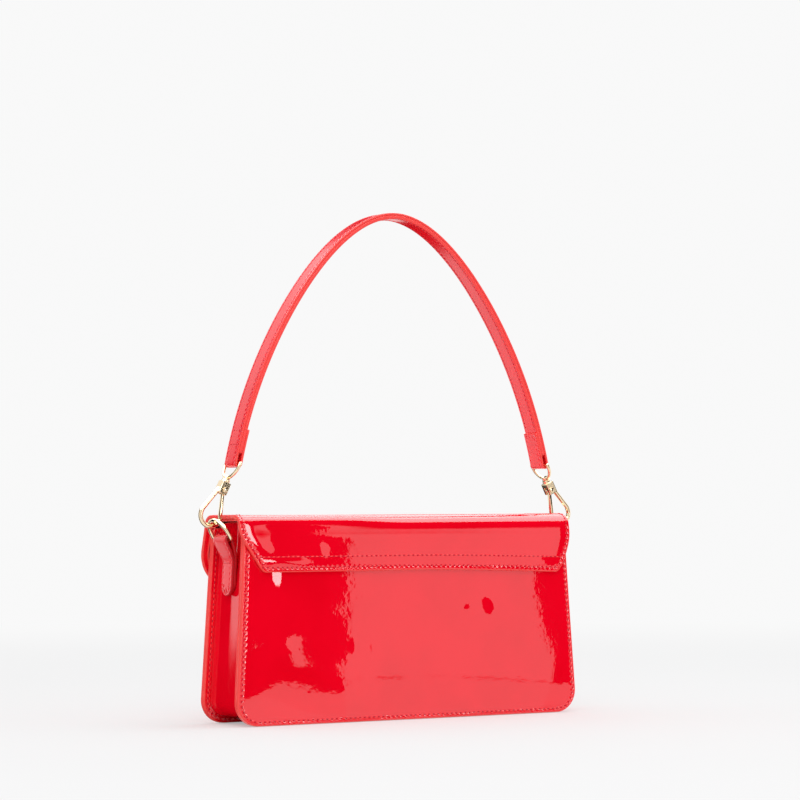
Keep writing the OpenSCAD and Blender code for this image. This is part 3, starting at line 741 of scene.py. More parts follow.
def make_panel(name, s, seed):
    outline = body_side(PANEL_DOME, PANEL_H - PANEL_DOME, TOP_CORNER_R - PANEL_DOME)
    flat = rows_between(outline, 129)
    x, z = flat[..., 0], flat[..., 1]
    mid = np.stack([x, s * (face_y(z) - PANEL_T / 2), z], axis=2)
    below_top = np.clip((CREASE_Z - z) / EVEN_TOP, 0, 1)
    crown = CROWN * (1 - (x / (BOTTOM_W / 2 - 1)) ** 2) * np.exp(-((z - CROWN_Z) / CROWN_REACH) ** 2)
    crown = crown * np.clip(z / CROWN_FOOT, 0, 1) * below_top
    inside = np.clip((BOTTOM_W / 2 - np.abs(x)) / EVEN_SIDE, 0, 1) * np.clip(z / EVEN_FOOT, 0, 1) * below_top
    swell = waves(mid, seed, 0.012, 45, 130) + waves(mid, **FINE_RIPPLE)
    lift = crown + swell * inside
    if s > 0:
        lift = lift + round_boss(x, z) + soft_swell(x, z) + dents(x, z, BACK_DENTS) + edge_hollow(x, z)
    return leather_sheet(name, mid, -s, PANEL_T, PANEL_DOME, (PATENT, TWILL, EDGE), lift=lift)


fit(make_panel("back_leather", 1, 11), "bag", "patent", "back_panel")
fit(make_panel("front_leather", -1, 12), "bag", "patent", "front_panel")


# Gusset

def u_path(inset, top_z, step=3.0):
    """Round the bag's outline at an inset, from the top of its right side to the top of its left side."""
    side = body_side(inset, top_z, 0, 400, 12)
    right = side[::-1]
    straight = spaced([right[0], right[1]], step)
    arc_part = right[2:]
    low = [(x, arc_part[-1][1]) for x in np.linspace(arc_part[-1][0], -arc_part[-1][0], 90)[1:-1]]
    half = straight + arc_part
    return half + low + [(-x, z) for x, z in half[::-1]]


def fold_depth(z):
    """How deep the middle of the gusset folds inward at a height: hardly at the foot, most at the mouth."""
    at_foot, in_low_third, in_middle, at_mouth, third = 0.05, 0.1, 0.45, 3.0, 46
    depth = at_foot + in_low_third * np.clip(z / third, 0, 1)
    depth = depth + in_middle * np.clip((z - third) / third, 0, 1)
    return depth + at_mouth * smooth_step(z, 96, 135)


def make_gusset(name, side, first_inset, thickness, finishes, flanged):
    """A strip round the bag. Its section: inset from the outline, share of the half depth and of the fold."""
    top_z = PANEL_H - GUSSET_DROP
    wall = first_inset + thickness / 2
    section = [(wall, 0.985, 0.0), (wall, 0.93, 0.03), (wall, 0.8, 0.14), (wall, 0.62, 0.35),
               (wall, 0.42, 0.6), (wall, 0.22, 0.84), (wall, 0.08, 0.97)]
    if flanged:
        flange = [(0.7, 1.0, 0), (2.4, 1.0, 0), (3.8, 0.998, 0), (4.9, 0.99, 0), (wall - 0.5, 0.985, 0)]
        section = flange + section
    section = section + [(wall, 0.0, 1.0)] + [(inset, -share, fold) for inset, share, fold in section[::-1]]
    end_rise, rise_from, rise_over = 4.6, 124, 15
    columns = []
    for inset, share, fold in section:
        path = np.array(u_path(inset, top_z))
        z0 = path[:, 1].copy()
        if fold:
            deeper = np.array(u_path(inset + 1.0, top_z))
            path = path + (deeper - path) * (fold * fold_depth(z0))[:, None]
        rise = np.clip((z0 - rise_from) / rise_over, 0, 1) ** 2 * end_rise * max(0.0, 1 - abs(share) ** 5)
        half = face_y(path[:, 1]) - PANEL_T - GUSSET_T / 2
        columns.append(np.stack([path[:, 0], -share * half, path[:, 1] + rise], axis=1))
    mid = np.stack(columns, axis=1)
    lift = waves(mid, 21, 0.04, 45, 120)
    sewn = 6
    lift[:, :sewn] = 0
    lift[:, -sewn:] = 0
    return leather_sheet(name, mid, side, thickness, thickness * 0.4, finishes, lift=lift)


gusset = make_gusset("gusset_leather", -1, FLANGE_W, GUSSET_T, (PATENT, TWILL, EDGE), True)
fit(gusset, "bag", "patent", "gusset")


# Flap

FLAP_DOME = 0.8
BACK_SHOULDER_Y, FRONT_SHOULDER_Y = face_y(CREASE_Z) + FLAP_T - SHOULDER_R, FLAP_FRONT_Y + SHOULDER_R

# The top is all that lies above TOP_FROM_Z, and at CUT_Y its two pieces meet
TOP_FROM_Z, CUT_Y = 148, -1.5

# Half the width over which the flap's crown falls away and its left end spreads
CROWN_HALF = 139


def shoulder_flare(y, z):
    """How far the flap stands out beyond its cut width where it turns over the back panel."""
    flare = 2.6
    return flare * float(smooth_step(y, 4, 14) * smooth_step(z, 116, 138))


def sagged(points):
    """The flap spreads at its left end, and the lower part of its back hangs lower towards the right side."""
    points = np.array(points, float)
    x, y, z = points[..., 0].copy(), points[..., 1].copy(), points[..., 2].copy()
    front_spread, back_spread, shift, sag, seam_half = 2.4, 3.8, 2.3, 3.2, 127
    low = (y > 0) * np.clip((CREASE_Z - z) / 25, 0, 1)
    spread = front_spread * smooth_step(-y, 12, 24) * smooth_step(z, 62, 90)
    spread = spread + back_spread * smooth_step(y, 12, 20) * smooth_step(z, 120, 146)
    x = x + spread * np.clip(x / CROWN_HALF, 0, 1) ** 4
    points[..., 0] = x - low * (shift - x / seam_half)
    points[..., 2] = z - low * sag * np.clip(-x / seam_half, 0, 1.2) ** 1.6
    return points


def hanging_edge(inset, low_in, tighter):
    """The hanging part's outline at an inset, from the middle of its lower edge to the bend of its side."""
    low = (FLAP_LOW_HALF_W - low_in, FLAP_LOW_Z + inset)
    wide = (FLAP_WIDE[0] - inset, FLAP_WIDE[1])
    high = (FLAP_HALF_W - inset, CREASE_Z)
    lower = corner((0, low[1]), low, wide, FLAP_CORNER_R - tighter, 14)
    return lower + corner(low, wide, high, FLAP_SIDE_R - tighter, 14)


def flap_rows():
    """The flap from the seam on the back, over the top and down to its lower front edge."""
    foot_z, step = ANCHOR_Z + FLAP_DOME, 2.5
    low_a = -math.degrees(math.asin((CREASE_Z - ANCHOR_Z) / ANCHOR_SIDE_R))
    side = arc((FLAP_HALF_W - ANCHOR_SIDE_R, CREASE_Z), ANCHOR_SIDE_R - FLAP_DOME, low_a, 0, 14)
    first = corner((0, foot_z), (side[0][0], foot_z), side[3], 3.0, 6)
    anchor = spaced(first + [p for p in side[1:] if p[1] > first[-1][1] + 0.5], step)
    rows = [(half, face_y(z) + FLAP_T / 2, z) for half, z in anchor[:-1]]
    top_half = FLAP_HALF_W - FLAP_DOME
    r = SHOULDER_R - FLAP_T / 2
    over = arc((BACK_SHOULDER_Y, CREASE_Z), r, 0, 90, 9)
    over += [(y, CREASE_Z + r) for y in np.linspace(BACK_SHOULDER_Y, FRONT_SHOULDER_Y, 18)[1:-1]]
    over += arc((FRONT_SHOULDER_Y, CREASE_Z), r, 90, 180, 9)
    rows += [(top_half, y, z) for y, z in over]
    hanging = spaced(hanging_edge(FLAP_DOME, 0, 0) + [(top_half, CREASE_Z)], step)[::-1]
    rows += [(half, FLAP_FRONT_Y + FLAP_T / 2, z) for half, z in hanging[1:]]
    return [(half + shoulder_flare(y, z), y, z) for half, y, z in rows]


FLAP_ROWS = flap_rows()
ON_TOP = [k for k, row in enumerate(FLAP_ROWS) if row[2] > TOP_FROM_Z]
FLAP_CUT = min(ON_TOP, key=lambda k: abs(FLAP_ROWS[k][1] - CUT_Y))


def flap_grid(narrower=0.0, cols=129):
    """The middle of the flap's leather, row by row."""
    return np.array([[(x, y, z) for x in across(cols) * (h - narrower)] for h, y, z in FLAP_ROWS])


def hump(value, middle, before, after):
    """1 at the middle, falling to 0 over one reach before it and another after it."""
    return np.exp(-((value - middle) / np.where(value < middle, before, after)) ** 2)


def flap_lift(x, y, z, half):
    """Height of the leather's outer face: swells, a ridge beside the edge and a pad between the two seams."""
    inset = half - np.abs(x)
    mid = np.stack([x, y, z], axis=-1)
    on_top = np.where(z > TOP_FROM_Z, np.clip((np.abs(y - CUT_Y) - 5) / 12, 0, 1), 1)
    ends = np.clip((z - 110) / 8, 0, 1) * (y > 0) + np.clip((z - 63) / 10, 0, 1) * (y <= 0)
    swell = waves(mid, 31, 0.014, 45, 130) * np.clip(inset / 16, 0, 1) * on_top * ends
    on_back = (y > 0) * np.clip((147 - z) / 6, 0, 1)
    crown_h, ridge_h, pad_h, even_pad_h, roll_h, shoulder_h = 0.5, 0.36, 0.7, 0.07, -0.4, 1.1
    crown_fall = np.where(x > 0, crown_h, 0.17)
    crown = crown_h - crown_fall * np.clip((x / CROWN_HALF) ** 2, 0, 1) + waves(mid, **FINE_RIPPLE)
    left = np.where(x > 0, 1.0, 0.25)
    ridge = ridge_h * hump(inset, 8.5, 6.5, 7.5) * np.clip((z - 120) / 6, 0, 1)
    pad = pad_h * left * hump(inset, 20, 15, 14) + even_pad_h
    pad = pad * np.sin(np.clip((z - SEAM_Z[0]) / (SEAM_Z[1] - SEAM_Z[0]), 0, 1) * math.pi)
    roll = roll_h * np.exp(-((z - CREASE_Z - 0.5) / 6) ** 2) * (y > 20)
    turn = np.arctan2(z - CREASE_Z, y - BACK_SHOULDER_Y)
    full = shoulder_h * np.sin(2 * np.clip(turn, 0, math.pi / 2)) ** 2 * smooth_step(x, 0, 70) * (y > 0)
    return swell + on_back * (crown + left * ridge + pad + dents(x, z, FLAP_DENTS)) + roll + full


def flap_height(mid):
    """The height of the outer face over each point of flap_grid."""
    half = np.array([h for h, *_ in FLAP_ROWS])[:, None]
    return flap_lift(mid[..., 0], mid[..., 1], mid[..., 2], half)


def make_flap():
    """The flap's leather as two pieces that meet on its top: one bends at the back fold, one at the front."""
    mid = flap_grid()
    normal = grid_normals(mid, -1)
    mid = sagged(mid + normal * flap_height(mid)[..., None])
    pieces = []
    for name, part, ends in (("flap_back_leather", slice(0, FLAP_CUT + 1), ("last",)),
                             ("flap_front_leather", slice(FLAP_CUT, None), ("first",))):
        pieces.append(leather_sheet(name, mid[part], -1, FLAP_T, FLAP_DOME, (PATENT, PLAIN_PATENT, EDGE),
                                    cut=ends, normal=normal[part]))
    return pieces


flap_back, flap_front = make_flap()

# Where the leather starts and ends its bend at each fold, in metres
BACK_FOLD = dict(start=(0, 0.0282, 0.1375), end=(0, 0.0225, 0.1485))
FRONT_FOLD = dict(start=(0, -0.0255, 0.1485), end=(0, -0.0310, 0.1375))


def on_back_fold(piece):
    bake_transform(piece, "bag", "flap_top", **BACK_FOLD)


def on_front_fold(piece):
    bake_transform(piece, "flap_top", "flap_front", **FRONT_FOLD)


on_back_fold(flap_back)
on_front_fold(flap_front)
for piece, nodes in ((flap_back, ("flap_anchor", "flap_top_panel")), (flap_front, ("flap_front_panel",))):
    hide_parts(*nodes)


def make_flap_lining():
    """A thin lining under the flap's top and its hanging part, down to a little above the lower edge."""
    margin, thickness, hem = 1.0, 1.5, 16
    mid = flap_grid(margin)
    normal = grid_normals(mid, -1)
    mid = mid - normal * (FLAP_T / 2 + thickness / 2)
    first = min(k for k, (_, y, z) in enumerate(FLAP_ROWS) if y <= 20 or z >= CREASE_Z)
    last = max(k for k, (_, _, z) in enumerate(FLAP_ROWS) if z > FLAP_LOW_Z + hem)
    pieces = []
    for name, part, ends in (("flap_top_twill", slice(first, FLAP_CUT + 1), ("last",)),
                             ("flap_front_twill", slice(FLAP_CUT, last + 1), ("first",))):
        pieces.append(leather_sheet(name, mid[part], -1, thickness, 0.5, (TWILL, TWILL, EDGE),
                                    cut=ends, normal=normal[part], rim_steps=4))
    return pieces


lining_back, lining_front = make_flap_lining()
on_back_fold(lining_back)
on_front_fold(lining_front)
for piece, node in ((lining_back, "flap_top_lining"), (lining_front, "flap_front_lining")):
    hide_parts(node)


# Linings of the body

ALL_TWILL = (TWILL, TWILL, TWILL)
TWILL_T, TWILL_GAP = 0.8, 0.2


def make_wall_lining(name, s):
    beside_flange, below_top, corner_r, edge = 2.6, 2.0, 3.0, 0.3
    flat = rows_between(body_side(FLANGE_W + beside_flange, PANEL_H - below_top, corner_r), 73)
    x, z = flat[..., 0], flat[..., 1]
    mid = np.stack([x, s * (face_y(z) - PANEL_T - 0.45), z], axis=2)
    return leather_sheet(name, mid, s, TWILL_T, edge, ALL_TWILL, rim_steps=4, lift=waves(mid, 41, 0.1))


for name, s, node in (("back_twill", 1, "back_lining"), ("front_twill", -1, "front_lining")):
    fit(make_wall_lining(name, s), "bag", "lining", node)

gusset_twill = make_gusset("gusset_twill", 1, FLANGE_W + GUSSET_T + TWILL_GAP, TWILL_T, ALL_TWILL, False)
fit(gusset_twill, "bag", "lining", "gusset_lining")


def make_pocket():
    """A flat pocket on the back lining, whose mouth gapes a little in its middle."""
    z0, z1, half, corner_r = 36.0, 114.0, 75.0, 8.0
    mouth_gape, thickness, edge = 0.5, 0.9, 0.35
    profile = spaced(corner((0, z0), (half, z0), (half, z1), corner_r, 8) + [(half, z1)], 3.0)
    flat = rows_between(profile, 51)
    x, z = flat[..., 0], flat[..., 1]
    gape = mouth_gape * (1 - (x / half) ** 2) * np.clip((z - z0) / (z1 - z0), 0, 1) ** 2
    mid = np.stack([x, face_y(z) - PANEL_T - 1.45 - gape, z], axis=2)
    return leather_sheet("slip_pocket_twill", mid, 1, thickness, edge, ALL_TWILL, rim_steps=4)


fit(make_pocket(), "bag", "lining", "slip_pocket")


# Ring tabs

# How far the tab's outer face turns towards the back, as a share of its width
TAB_TURN = 0.045


def tab_path():
    """The middle of the tab's leather in the plane of the hooks, from its inner end to its outer end."""
    in_gusset, inner_middle, shorter = 0.3, 0.9, 2

    def wall(z):
        return side_x(z) - FLANGE_W - in_gusset + inner_middle

    low, high = BAR[1] - TAB_LEN, BAR[1] - TAB_RISE
    inner = [(wall(low + shorter), low + shorter), (wall(high), high)]
    outer = [(wall(high) + TAB_T, high), (wall(low) + TAB_T, low)]
    foot_x = (inner[1][0] + outer[0][0]) / 2
    lean = math.degrees(math.atan2(BAR[0] - foot_x, BAR[1] - high))
    loop = arc(BAR, RING_WIRE_R + BAR_PLAY + TAB_T / 2, 180 - lean, -lean, 14)
    return spaced(inner + loop + outer, 1.5)


def smoothed(points, rounds):
    """Rounds the corners of a line a little more with each round."""
    points = np.array(points, float)
    for _ in range(rounds):
        points[1:-1] = (points[:-2] + 2 * points[1:-1] + points[2:]) / 4
    return points


# How far the tab's painted edge stands out from its sheet
TAB_EDGE = 0.5


def tab_half_width(z, end_z):
    """Half the width of the tab's sheet: wide at the loop, narrower below it, and half round at its end."""
    wide, narrow = TAB_LOOP_W / 2 - TAB_EDGE, TAB_W / 2 - TAB_EDGE
    narrow_from, wide_from = 17, 8
    half = narrow + (wide - narrow) * smooth_step(z, BAR[1] - narrow_from, BAR[1] - wide_from)
    up = z - end_z
    return half if up >= narrow else max(1.0, math.sqrt(max(narrow ** 2 - (narrow - up) ** 2, 0)))


def round_ended(path):
    """Puts rows close together at both ends of a tab, where it narrows to a half round."""
    r = TAB_W / 2 - TAB_EDGE
    place = np.concatenate([[0], np.cumsum(np.linalg.norm(np.diff(path, axis=0), axis=1))])
    near = [r * (1 - math.cos(math.radians(a))) for a in range(0, 90, 9)]
    at = near + list(np.arange(r, place[-1] - r, 1.3)) + [place[-1] - q for q in near[::-1]]
    return np.stack([np.interp(at, place, path[:, k]) for k in (0, 1)], axis=1)


def make_tab(name, s):
    """One strip of leather, folded over the ring's bar, with both ends on the gusset."""
    path = round_ended(smoothed(tab_path(), 3))
    apex = int(path[:, 1].argmax())
    low_in, low_out = path[0, 1], path[-1, 1]
    rows = []
    for k, (x, z) in enumerate(path):
        half = tab_half_width(z, low_in if k < apex else low_out)
        rows.append([(s * (x + TAB_TURN * y), y, z) for y in np.linspace(-half, half, 15)])
    mid = np.array(rows)
    # The tab's edges take the dark edge finish, which holds painted shade
    return leather_sheet(name, mid, -s, TAB_T, TAB_EDGE, (STRAP_LEATHER, STRAP_LEATHER, TAB_EDGE_PAINT_AND_SHADE))


for side_name, s in (("left", 1), ("right", -1)):
    fit(make_tab("tab_leather_" + side_name, s), "bag", "patent", "ring_tab_" + side_name)


# Strap

def strap_centre(steps=180):
    """The strap's path from the left eye to the top, as in the part's source."""
    lean, reach = math.radians(STRAP_LEAN), STRAP_SKIN_T / 2
    foot = (EYE_BAR[0] + reach * math.cos(lean), EYE_BAR[1] + reach * math.sin(lean))
    u = (np.arange(steps) + 0.5) / steps
    turn = np.radians(STRAP_LEAN + (90 - STRAP_LEAN) * (STRAP_EVEN * u + (1 - STRAP_EVEN) * u ** STRAP_POWER))
    run_in = np.concatenate([[0], np.cumsum(np.sin(turn))])
    run_up = np.concatenate([[0], np.cumsum(np.cos(turn))])
    x = foot[0] * (1 - run_in / run_in[-1])
    z = foot[1] + STRAP_RISE * run_up / run_up[-1]
    return np.stack([x, z], axis=1)


STRAP_HALF = strap_centre()


def offset_line(line, d):
    """A line beside another, at a distance to its outer side."""
    tangent = np.gradient(line, axis=0)
    tangent /= np.linalg.norm(tangent, axis=1, keepdims=True)
    tangent[-1] = (-1, 0)
    return line + d * np.stack([tangent[:, 1], -tangent[:, 0]], axis=1)


def whole_line(half):
    """Adds the mirrored half after a line that ends at the top."""
    return np.concatenate([half, np.stack([-half[-2::-1, 0], half[-2::-1, 1]], axis=1)])


def strap_sheet(name, line, thickness, dome):
    """One layer of the strap, as wide as the strap, along a line."""
    half = STRAP_W / 2 - dome
    rows = [[(x, y, z) for y in np.linspace(-half, half, 13)] for x, z in line]
    finishes = (STRAP_LEATHER, STRAP_LEATHER, EDGE)
    return leather_sheet(name, np.array(rows), 1, thickness, dome, finishes, fullness=0.85)


def make_strap():
    """The outer layer, whose ends turn round the eyes and run back under it, and the lining."""
    out, joint, clear_of_loop, between_layers = STRAP_T / 2, 2, 4.0, 0.04
    skin = offset_line(STRAP_HALF, out - STRAP_SKIN_T / 2)
    loop = np.array(arc(EYE_BAR, LOOP_R, STRAP_LEAN, STRAP_LEAN - 180, 14))
    step = np.linalg.norm(np.diff(STRAP_HALF, axis=0), axis=1).mean()
    back_run = offset_line(STRAP_HALF, -out - STRAP_SKIN_T / 2)[joint:int(FOLD_LEN / step)]
    half = np.concatenate([back_run[::-1], loop[::-1], skin[joint:]])
    start = int((2 * EYE_WIRE_R + STRAP_SKIN_T + clear_of_loop) / step)
    inner = offset_line(STRAP_HALF, -STRAP_SKIN_T / 2)[start:]
    inner_t = STRAP_T - STRAP_SKIN_T - between_layers
    return (strap_sheet("strap_outer_leather", whole_line(half), STRAP_SKIN_T, 0.5),
            strap_sheet("strap_lining_leather", whole_line(inner), inner_t, 0.7))


strap_outer, strap_lining = make_strap()
fit(strap_outer, "strap", "patent", "strap_outer")
fit(strap_lining, "strap", "patent", "strap_lining", "strap_core")


# Stitches

def panel_seam(y_at, facing):
    """A row of stitches round a panel; y_at gives its place across the bag."""
    below_top = 1.5
    side = body_side(STITCH_INSET, PANEL_H - below_top, 0, 2.0)
    bottom = [(x, side[0][1]) for x in np.linspace(side[0][0], -side[0][0], 120)[1:-1]]
    loop = side[::-1] + bottom + [(-x, z) for x, z in side]
    return [(x, y_at(x, z), z) for x, z in loop], facing


def sew_body():
    """A row round the outside of each panel, and one along each of the gusset's flanges inside."""
    up, turn = 0.05, 0.02
    rows = [
        panel_seam(lambda x, z: face_y(z) + up + edge_hollow(x, z), (0, 1, turn)),
        panel_seam(lambda x, z: -face_y(z) - up, (0, -1, turn)),
    ]
    for s in (1, -1):
        rows.append(panel_seam(lambda x, z, s=s: s * (face_y(z) - PANEL_T - GUSSET_T), (0, -s, 0)))
    return thread("body_thread", rows)


fit(sew_body(), "bag", "patent")


def flap_side_row(inset, first, last):
    """A row of stitches along both sides of the flap between two of its rows."""
    mid = flap_grid(inset - FLAP_DOME, 3)
    normal = grid_normals(mid, -1)
    outer = sagged(mid + normal * (FLAP_T / 2 + THREAD_UP + flap_height(mid)[..., None]))
    return [(outer[first:last + 1, j], normal[first:last + 1, j]) for j in (0, 2)]


def sew_flap_back():
    """Two rows across the part that is sewn to the back panel, and one along each side edge."""
    rows = []
    for z in SEAM_Z:
        half = ANCHOR_SIDE_R - STITCH_INSET
        reach = FLAP_HALF_W - ANCHOR_SIDE_R + math.sqrt(half ** 2 - (CREASE_Z - z) ** 2)
        x = np.linspace(-reach, reach, 140)
        y = face_y(z) + FLAP_T + THREAD_UP
        y = y + flap_lift(x, np.full_like(x, y), np.full_like(x, z), reach + STITCH_INSET - FLAP_DOME)
        rows.append((sagged(np.stack([x, y, np.full_like(x, z)], axis=1)), (0, 1, 0.02)))
    start = next(k for k, (h, y, z) in enumerate(FLAP_ROWS) if z > ANCHOR_Z + 4)
    return thread("flap_back_thread", rows + flap_side_row(STITCH_INSET, start, FLAP_CUT))


def sew_flap_front():
    """Rows down both sides as far as the lower corners, and one round these and along the lower edge."""
    corner_rows = 25
    side_end = len(FLAP_ROWS) - corner_rows
    side = flap_side_row(STITCH_INSET, FLAP_CUT, side_end)
    edge = spaced(hanging_edge(STITCH_INSET, 1.6, STITCH_INSET), 2.0)
    edge = [(x, z) for x, z in edge if z < FLAP_ROWS[side_end][2]]
    line = spaced([(-x, z) for x, z in edge[::-1]] + edge, 3.0)
    y = FLAP_FRONT_Y - THREAD_UP
    return thread("flap_front_thread", side + [([(x, y, z) for x, z in line], (0, -1, 0))])


back_thread, front_thread = sew_flap_back(), sew_flap_front()
on_back_fold(back_thread)
on_front_fold(front_thread)


# Half the length of the short rows across the strap's ends and the tabs
CROSS_HALF = 5.2


def sew_strap():
    """Rows along both edges, outside and inside, and two short rows across each end."""
    rows = []
    out = STRAP_T / 2 + THREAD_UP
    outside, inside = offset_line(STRAP_HALF, out), offset_line(STRAP_HALF, -out)
    outside_start, inside_start, across_at = 4, 24, (10, 18)
    for half, way in ((outside[outside_start:], 1), (inside[inside_start:], -1)):
        line = whole_line(half)
        tangent = np.gradient(line, axis=0)
        tangent /= np.linalg.norm(tangent, axis=1, keepdims=True)
        facing = np.stack([tangent[:, 1], np.zeros(len(line)), -tangent[:, 0]], axis=1) * way
        for y in (-STRAP_W / 2 + STRAP_STITCH_INSET, STRAP_W / 2 - STRAP_STITCH_INSET):
            rows.append((np.stack([line[:, 0], np.full(len(line), y), line[:, 1]], axis=1), facing))
    for s in (1, -1):
        for k in across_at:
            x, z = outside[k]
            t = np.gradient(STRAP_HALF, axis=0)[k]
            t = t / np.linalg.norm(t)
            points = [(s * x, y, z) for y in np.linspace(-CROSS_HALF, CROSS_HALF, 5)]
            rows.append((points, (s * t[1], 0, -t[0])))
    return thread("strap_thread", rows, pitch=3.2, length=2.3, width=0.6, height=0.4)


fit(sew_strap(), "strap", "patent")


def sew_tabs():
    """One short row across the outside of each tab, below its loop."""
    path = smoothed(tab_path(), 3)
    apex = int(path[:, 1].argmax())
    k = apex + int(np.abs(path[apex:, 1] - TAB_SEAM_Z).argmin())
    x = path[k, 0] + TAB_T / 2 + THREAD_UP
    rows = []
    for s in (1, -1):
        points = [(s * (x + TAB_TURN * y), y, TAB_SEAM_Z) for y in np.linspace(-CROSS_HALF, CROSS_HALF, 5)]
        rows.append((points, (s, 0, 0)))
    return thread("tab_thread", rows, pitch=2.9, length=2.1, width=0.6, height=0.4)


fit(sew_tabs(), "bag", "patent")


# Fittings and inner pieces

# Angles between faces: up to FLAT they are one face, past SHARP their edge is broken, and past CREASED
# they are shaded apart
FLAT, SHARP, CREASED = (math.radians(a) for a in (0.8, 32, 40))


def merged_copy(node):
    """A copy of a fitting whose triangles are joined to one closed skin."""
    work = bmesh.new()
    work.from_mesh(frame["nodes"][node].data)
    bmesh.ops.remove_doubles(work, verts=work.verts, dist=0.002 * MM)
    return work


def finished_copy(node, work):
    """The copy as an object of its own."""
    mesh = bpy.data.meshes.new(node + "_gold")
    work.to_mesh(mesh)
    work.free()
    obj = bpy.data.objects.new(node + "_gold", mesh)
    bpy.context.scene.collection.objects.link(obj)
    return obj


def bevelled(node, width):
    """A stamped fitting with its sharp edges broken."""
    work = merged_copy(node)
    bmesh.ops.dissolve_limit(work, angle_limit=FLAT, verts=work.verts, edges=work.edges)
    sharp = [e for e in work.edges if e.calc_face_angle(0) > SHARP]
    bmesh.ops.bevel(work, geom=sharp, offset=width * MM, segments=2, profile=0.5, affect="EDGES",
                    clamp_overlap=True)
    bmesh.ops.triangulate(work, faces=work.faces)
    return finished_copy(node, work)


def cast(node, grain, rounds):
    """A cast fitting: its skin is laid again in small even faces, and its edges are polished round."""
    obj = finished_copy(node, merged_copy(node))
    skin = obj.modifiers.new("skin", "REMESH")
    skin.mode, skin.voxel_size, skin.use_smooth_shade = "VOXEL", grain * MM, True
    polish = obj.modifiers.new("polish", "SMOOTH")
    polish.factor, polish.iterations = 0.5, rounds
    graph = bpy.context.evaluated_depsgraph_get()
    graph.update()
    mesh = bpy.data.meshes.new_from_object(obj.evaluated_get(graph))
    obj.modifiers.clear()
    obj.data = mesh
    return obj


def gild(obj, node):
    """Plates a fitting and puts it in the place of its node."""
    obj.data.materials.clear()
    obj.data.materials.append(GOLD)
    obj.data.polygons.foreach_set("use_smooth", np.ones(len(obj.data.polygons), bool))
    obj.data.set_sharp_from_angle(angle=CREASED)
    fit(obj, body_of(frame["nodes"][node])[0], "gold", node)


for side_name in ("left", "right"):
    for kind in ("gate_", "gate_pin_"):
        gild(bevelled(kind + side_name, 0.15), kind + side_name)
    for kind in ("hook_body_", "swivel_eye_"):
        gild(cast(kind + side_name, 0.2, 3), kind + side_name)

for node, obj in frame["nodes"].items():
    finish = None
    if node.startswith("d_ring"):
        finish = GOLD
    elif node.startswith(("gate_spring", "closure")):
        finish = STEEL
    elif node.endswith("board"):
        finish = BOARD
    if finish:
        obj.data.materials.clear()
        obj.data.materials.append(finish)


# Studio

def set_camera():
    """The view that was fitted to the bag's outline, in millimetres and degrees."""
    lens, yaw, pitch, roll = 135.0, math.radians(32.68), math.radians(-2.18), math.radians(-0.3)
    distance, shift_x, height = 2226.4, 6.6, 150.0
    back_dir = Vector((math.sin(yaw) * math.cos(pitch), math.cos(yaw) * math.cos(pitch), math.sin(pitch)))
    right = Vector((-math.cos(yaw), math.sin(yaw), 0))
    up = back_dir.cross(right)
    place = Vector((math.sin(yaw) * distance, math.cos(yaw) * distance, height)) + right * shift_x
    right, up = right * math.cos(roll) + up * math.sin(roll), up * math.cos(roll) - right * math.sin(roll)
    data = bpy.data.cameras.new("camera")
    data.lens, data.sensor_width, data.clip_start, data.clip_end = lens, 36.0, 0.05, 50.0
    camera = bpy.data.objects.new("camera", data)
    bpy.context.scene.collection.objects.link(camera)
    turn = Matrix((right, up, back_dir)).transposed().to_4x4()
    camera.matrix_world = Matrix.Translation(place * MM) @ turn
    bpy.context.scene.camera = camera


def between(value, low, high, soft):
    """1 from low to high, and 0 outside, with soft borders."""
    return value.step(low - soft, low + soft) * (1 - value.step(high - soft, high + soft))


def height_of(angle):
    """The z of a direction that rises by an angle."""
    return math.sin(math.radians(angle))


def studio_glow(azimuth, rise, at_left=None, at_right=None):
    """What shines in the gloss: white walls with dark gaps, one narrow card at the back, and a ceiling.

    at_left and at_right are the azimuths seen from the card's two borders on the back panel, which
    differ from azimuth only on the floor.
    """
    at_left, at_right = at_left or azimuth, at_right or azimuth
    gaps = between(at_right, *CARD_GAP, 0.01)
    for low, high in WALL_GAPS:
        gaps = gaps + between(azimuth, low, high, 1.2)
    beside_card = between(at_left, *LOW_GAP, 0.01)
    low_gap = beside_card * ((at_left - CARD[1]) * 0.07 + 0.07 - rise).step(-0.003, 0.003)
    above_card = between(azimuth, *ABOVE_CARD, 3.0)
    above_card = above_card * between(rise, height_of(CARD_TOP), height_of(DARK_TOP), 0.02)
    dark = gaps.highest(low_gap).highest(above_card)
    ceiling = rise.step(height_of(DARK_TOP) + 0.02, height_of(DARK_TOP) + 0.1)
    return (1 - dark) * (1 - ceiling) * WALL_GLOW + ceiling * CEILING_GLOW


def set_world():
    """Pale all round for the camera and for soft light; in reflections, a studio with dark gaps."""
    world = bpy.data.worlds.new("studio")
    bpy.context.scene.world = world
    f = Finish("studio", world)
    x, y, z = f.axes(f.add("ShaderNodeTexCoord").outputs["Generated"])
    azimuth = x.azimuth(y)
    spark = between(azimuth, *SPARK, 0.3) * between(z, -0.03, 0.19, 0.01)
    seen = studio_glow(azimuth, z) + spark * SPARK_GLOW
    glossy = f.ray("Glossy")
    from_eye = f.ray("Camera").highest(f.ray("Transmission"))
    strength = from_eye * BACKDROP_GLOW + (1 - from_eye) * (glossy * seen + (1 - glossy) * ROOM_LIGHT)
    back = f.add("ShaderNodeBackground", {}, {"Color": rgb(1, 1, 1), "Strength": strength})
    f.add("ShaderNodeOutputWorld", {}, {"Surface": back.outputs[0]})


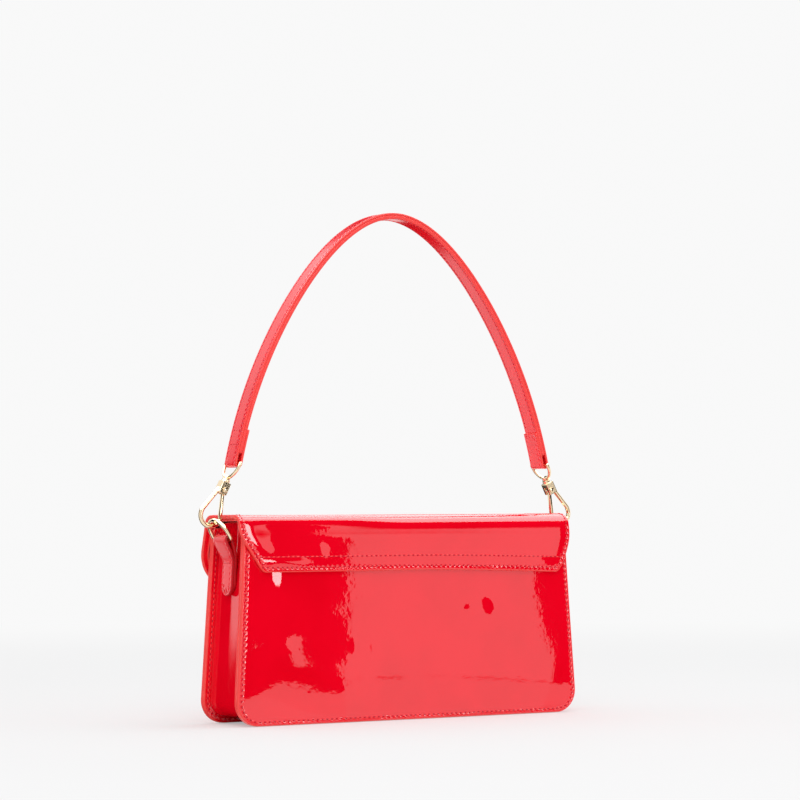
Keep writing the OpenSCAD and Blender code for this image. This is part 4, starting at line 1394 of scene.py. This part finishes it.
def soft_box(name, place, aim, size, power):
    """A soft lamp, in metres and watts."""
    data = bpy.data.lights.new(name, "AREA")
    data.shape, data.size, data.size_y, data.energy = "RECTANGLE", size[0], size[1], power
    lamp = bpy.data.objects.new(name, data)
    bpy.context.scene.collection.objects.link(lamp)
    away = (Vector(place) - Vector(aim)).normalized()
    lamp.matrix_world = Matrix.Translation(Vector(place)) @ away.to_track_quat("Z", "Y").to_matrix().to_4x4()
    return lamp


def set_floor():
    """A pale floor that keeps the shadow; in glossy rays it glows instead, as a painted reflection of a sheet
    with the studio's walls beyond it, with painted shade near the bag.
    """
    f = Finish("pale_floor")
    x, y, _ = f.axes(f.place())
    far = (x * x + y * y) ** 0.5
    haze = far.step(0.4, 2.0) * 0.6 + 0.4
    base = f.mixed(f.noise(3.0), rgb(0.765, 0.765, 0.77), rgb(0.745, 0.745, 0.75))
    matt = f.add("ShaderNodeBsdfDiffuse", {}, {"Color": base})
    glow = f.add("ShaderNodeEmission", {}, {"Color": rgb(1, 1, 1), "Strength": BACKDROP_GLOW})
    lit = f.add("ShaderNodeMixShader", {}, {
        0: haze * f.ray("Camera"), 1: matt.outputs[0], 2: glow.outputs[0]})
    # A place on the floor lies in three directions: from the middle of the card's image on the back
    # panel, and from its left and right borders
    back_y, middle_x, left_x, right_x = FOOT_HALF_DEPTH * MM, 0.045, 0.057, -0.115
    middle, left, right = ((x - image_x).azimuth(y - back_y) for image_x in (middle_x, left_x, right_x))
    wall = studio_glow(middle, x * 0, left, right)
    far = far + left.step(-32.2, -31.2) * (FLOOR_EDGE - NEARER_EDGE)
    near = (1 - far.step(FLOOR_EDGE - 0.01, FLOOR_EDGE + 0.01)) * y.step(0.03, 0.05)
    # A thin broken dark line painted along the far edge of the glowing sheet
    line = between(far, FLOOR_EDGE, FLOOR_EDGE + 0.03, 0.003) * f.noise(14.0, 3.0, 0.6).step(0.48, 0.5)
    shade = far.step(0.02, 0.4) * 0.3 + 0.75
    # The glow that glossy rays see: painted reflection, with painted shade near the bag
    sheet = f.add("ShaderNodeEmission", {}, {
        "Color": rgb(1, 1, 1), "Strength": (near * shade).highest(wall) * (1 - line)})
    both = f.add("ShaderNodeMixShader", {}, {0: f.ray("Glossy"), 1: lit.outputs[0], 2: sheet.outputs[0]})
    f.add("ShaderNodeOutputMaterial", {}, {"Surface": both.outputs[0]})
    reach, floor_z = 12000.0, -0.15
    corners = [(u * reach, v * reach, floor_z) for u, v in ((-1, -1), (1, -1), (1, 1), (-1, 1))]
    floor = new_object("floor", corners, [(0, 1, 2, 3)], (f.owner,), smooth=False)


set_camera()
set_world()
set_floor()
soft_box("key", (0.9, 1.4, 1.6), (0, 0, 0.1), (0.9, 0.9), 7)
soft_box("top", (-0.5, 0.2, 1.9), (0, 0, 0.1), (1.2, 1.2), 8)

view = bpy.context.scene.view_settings
view.view_transform = "Standard"
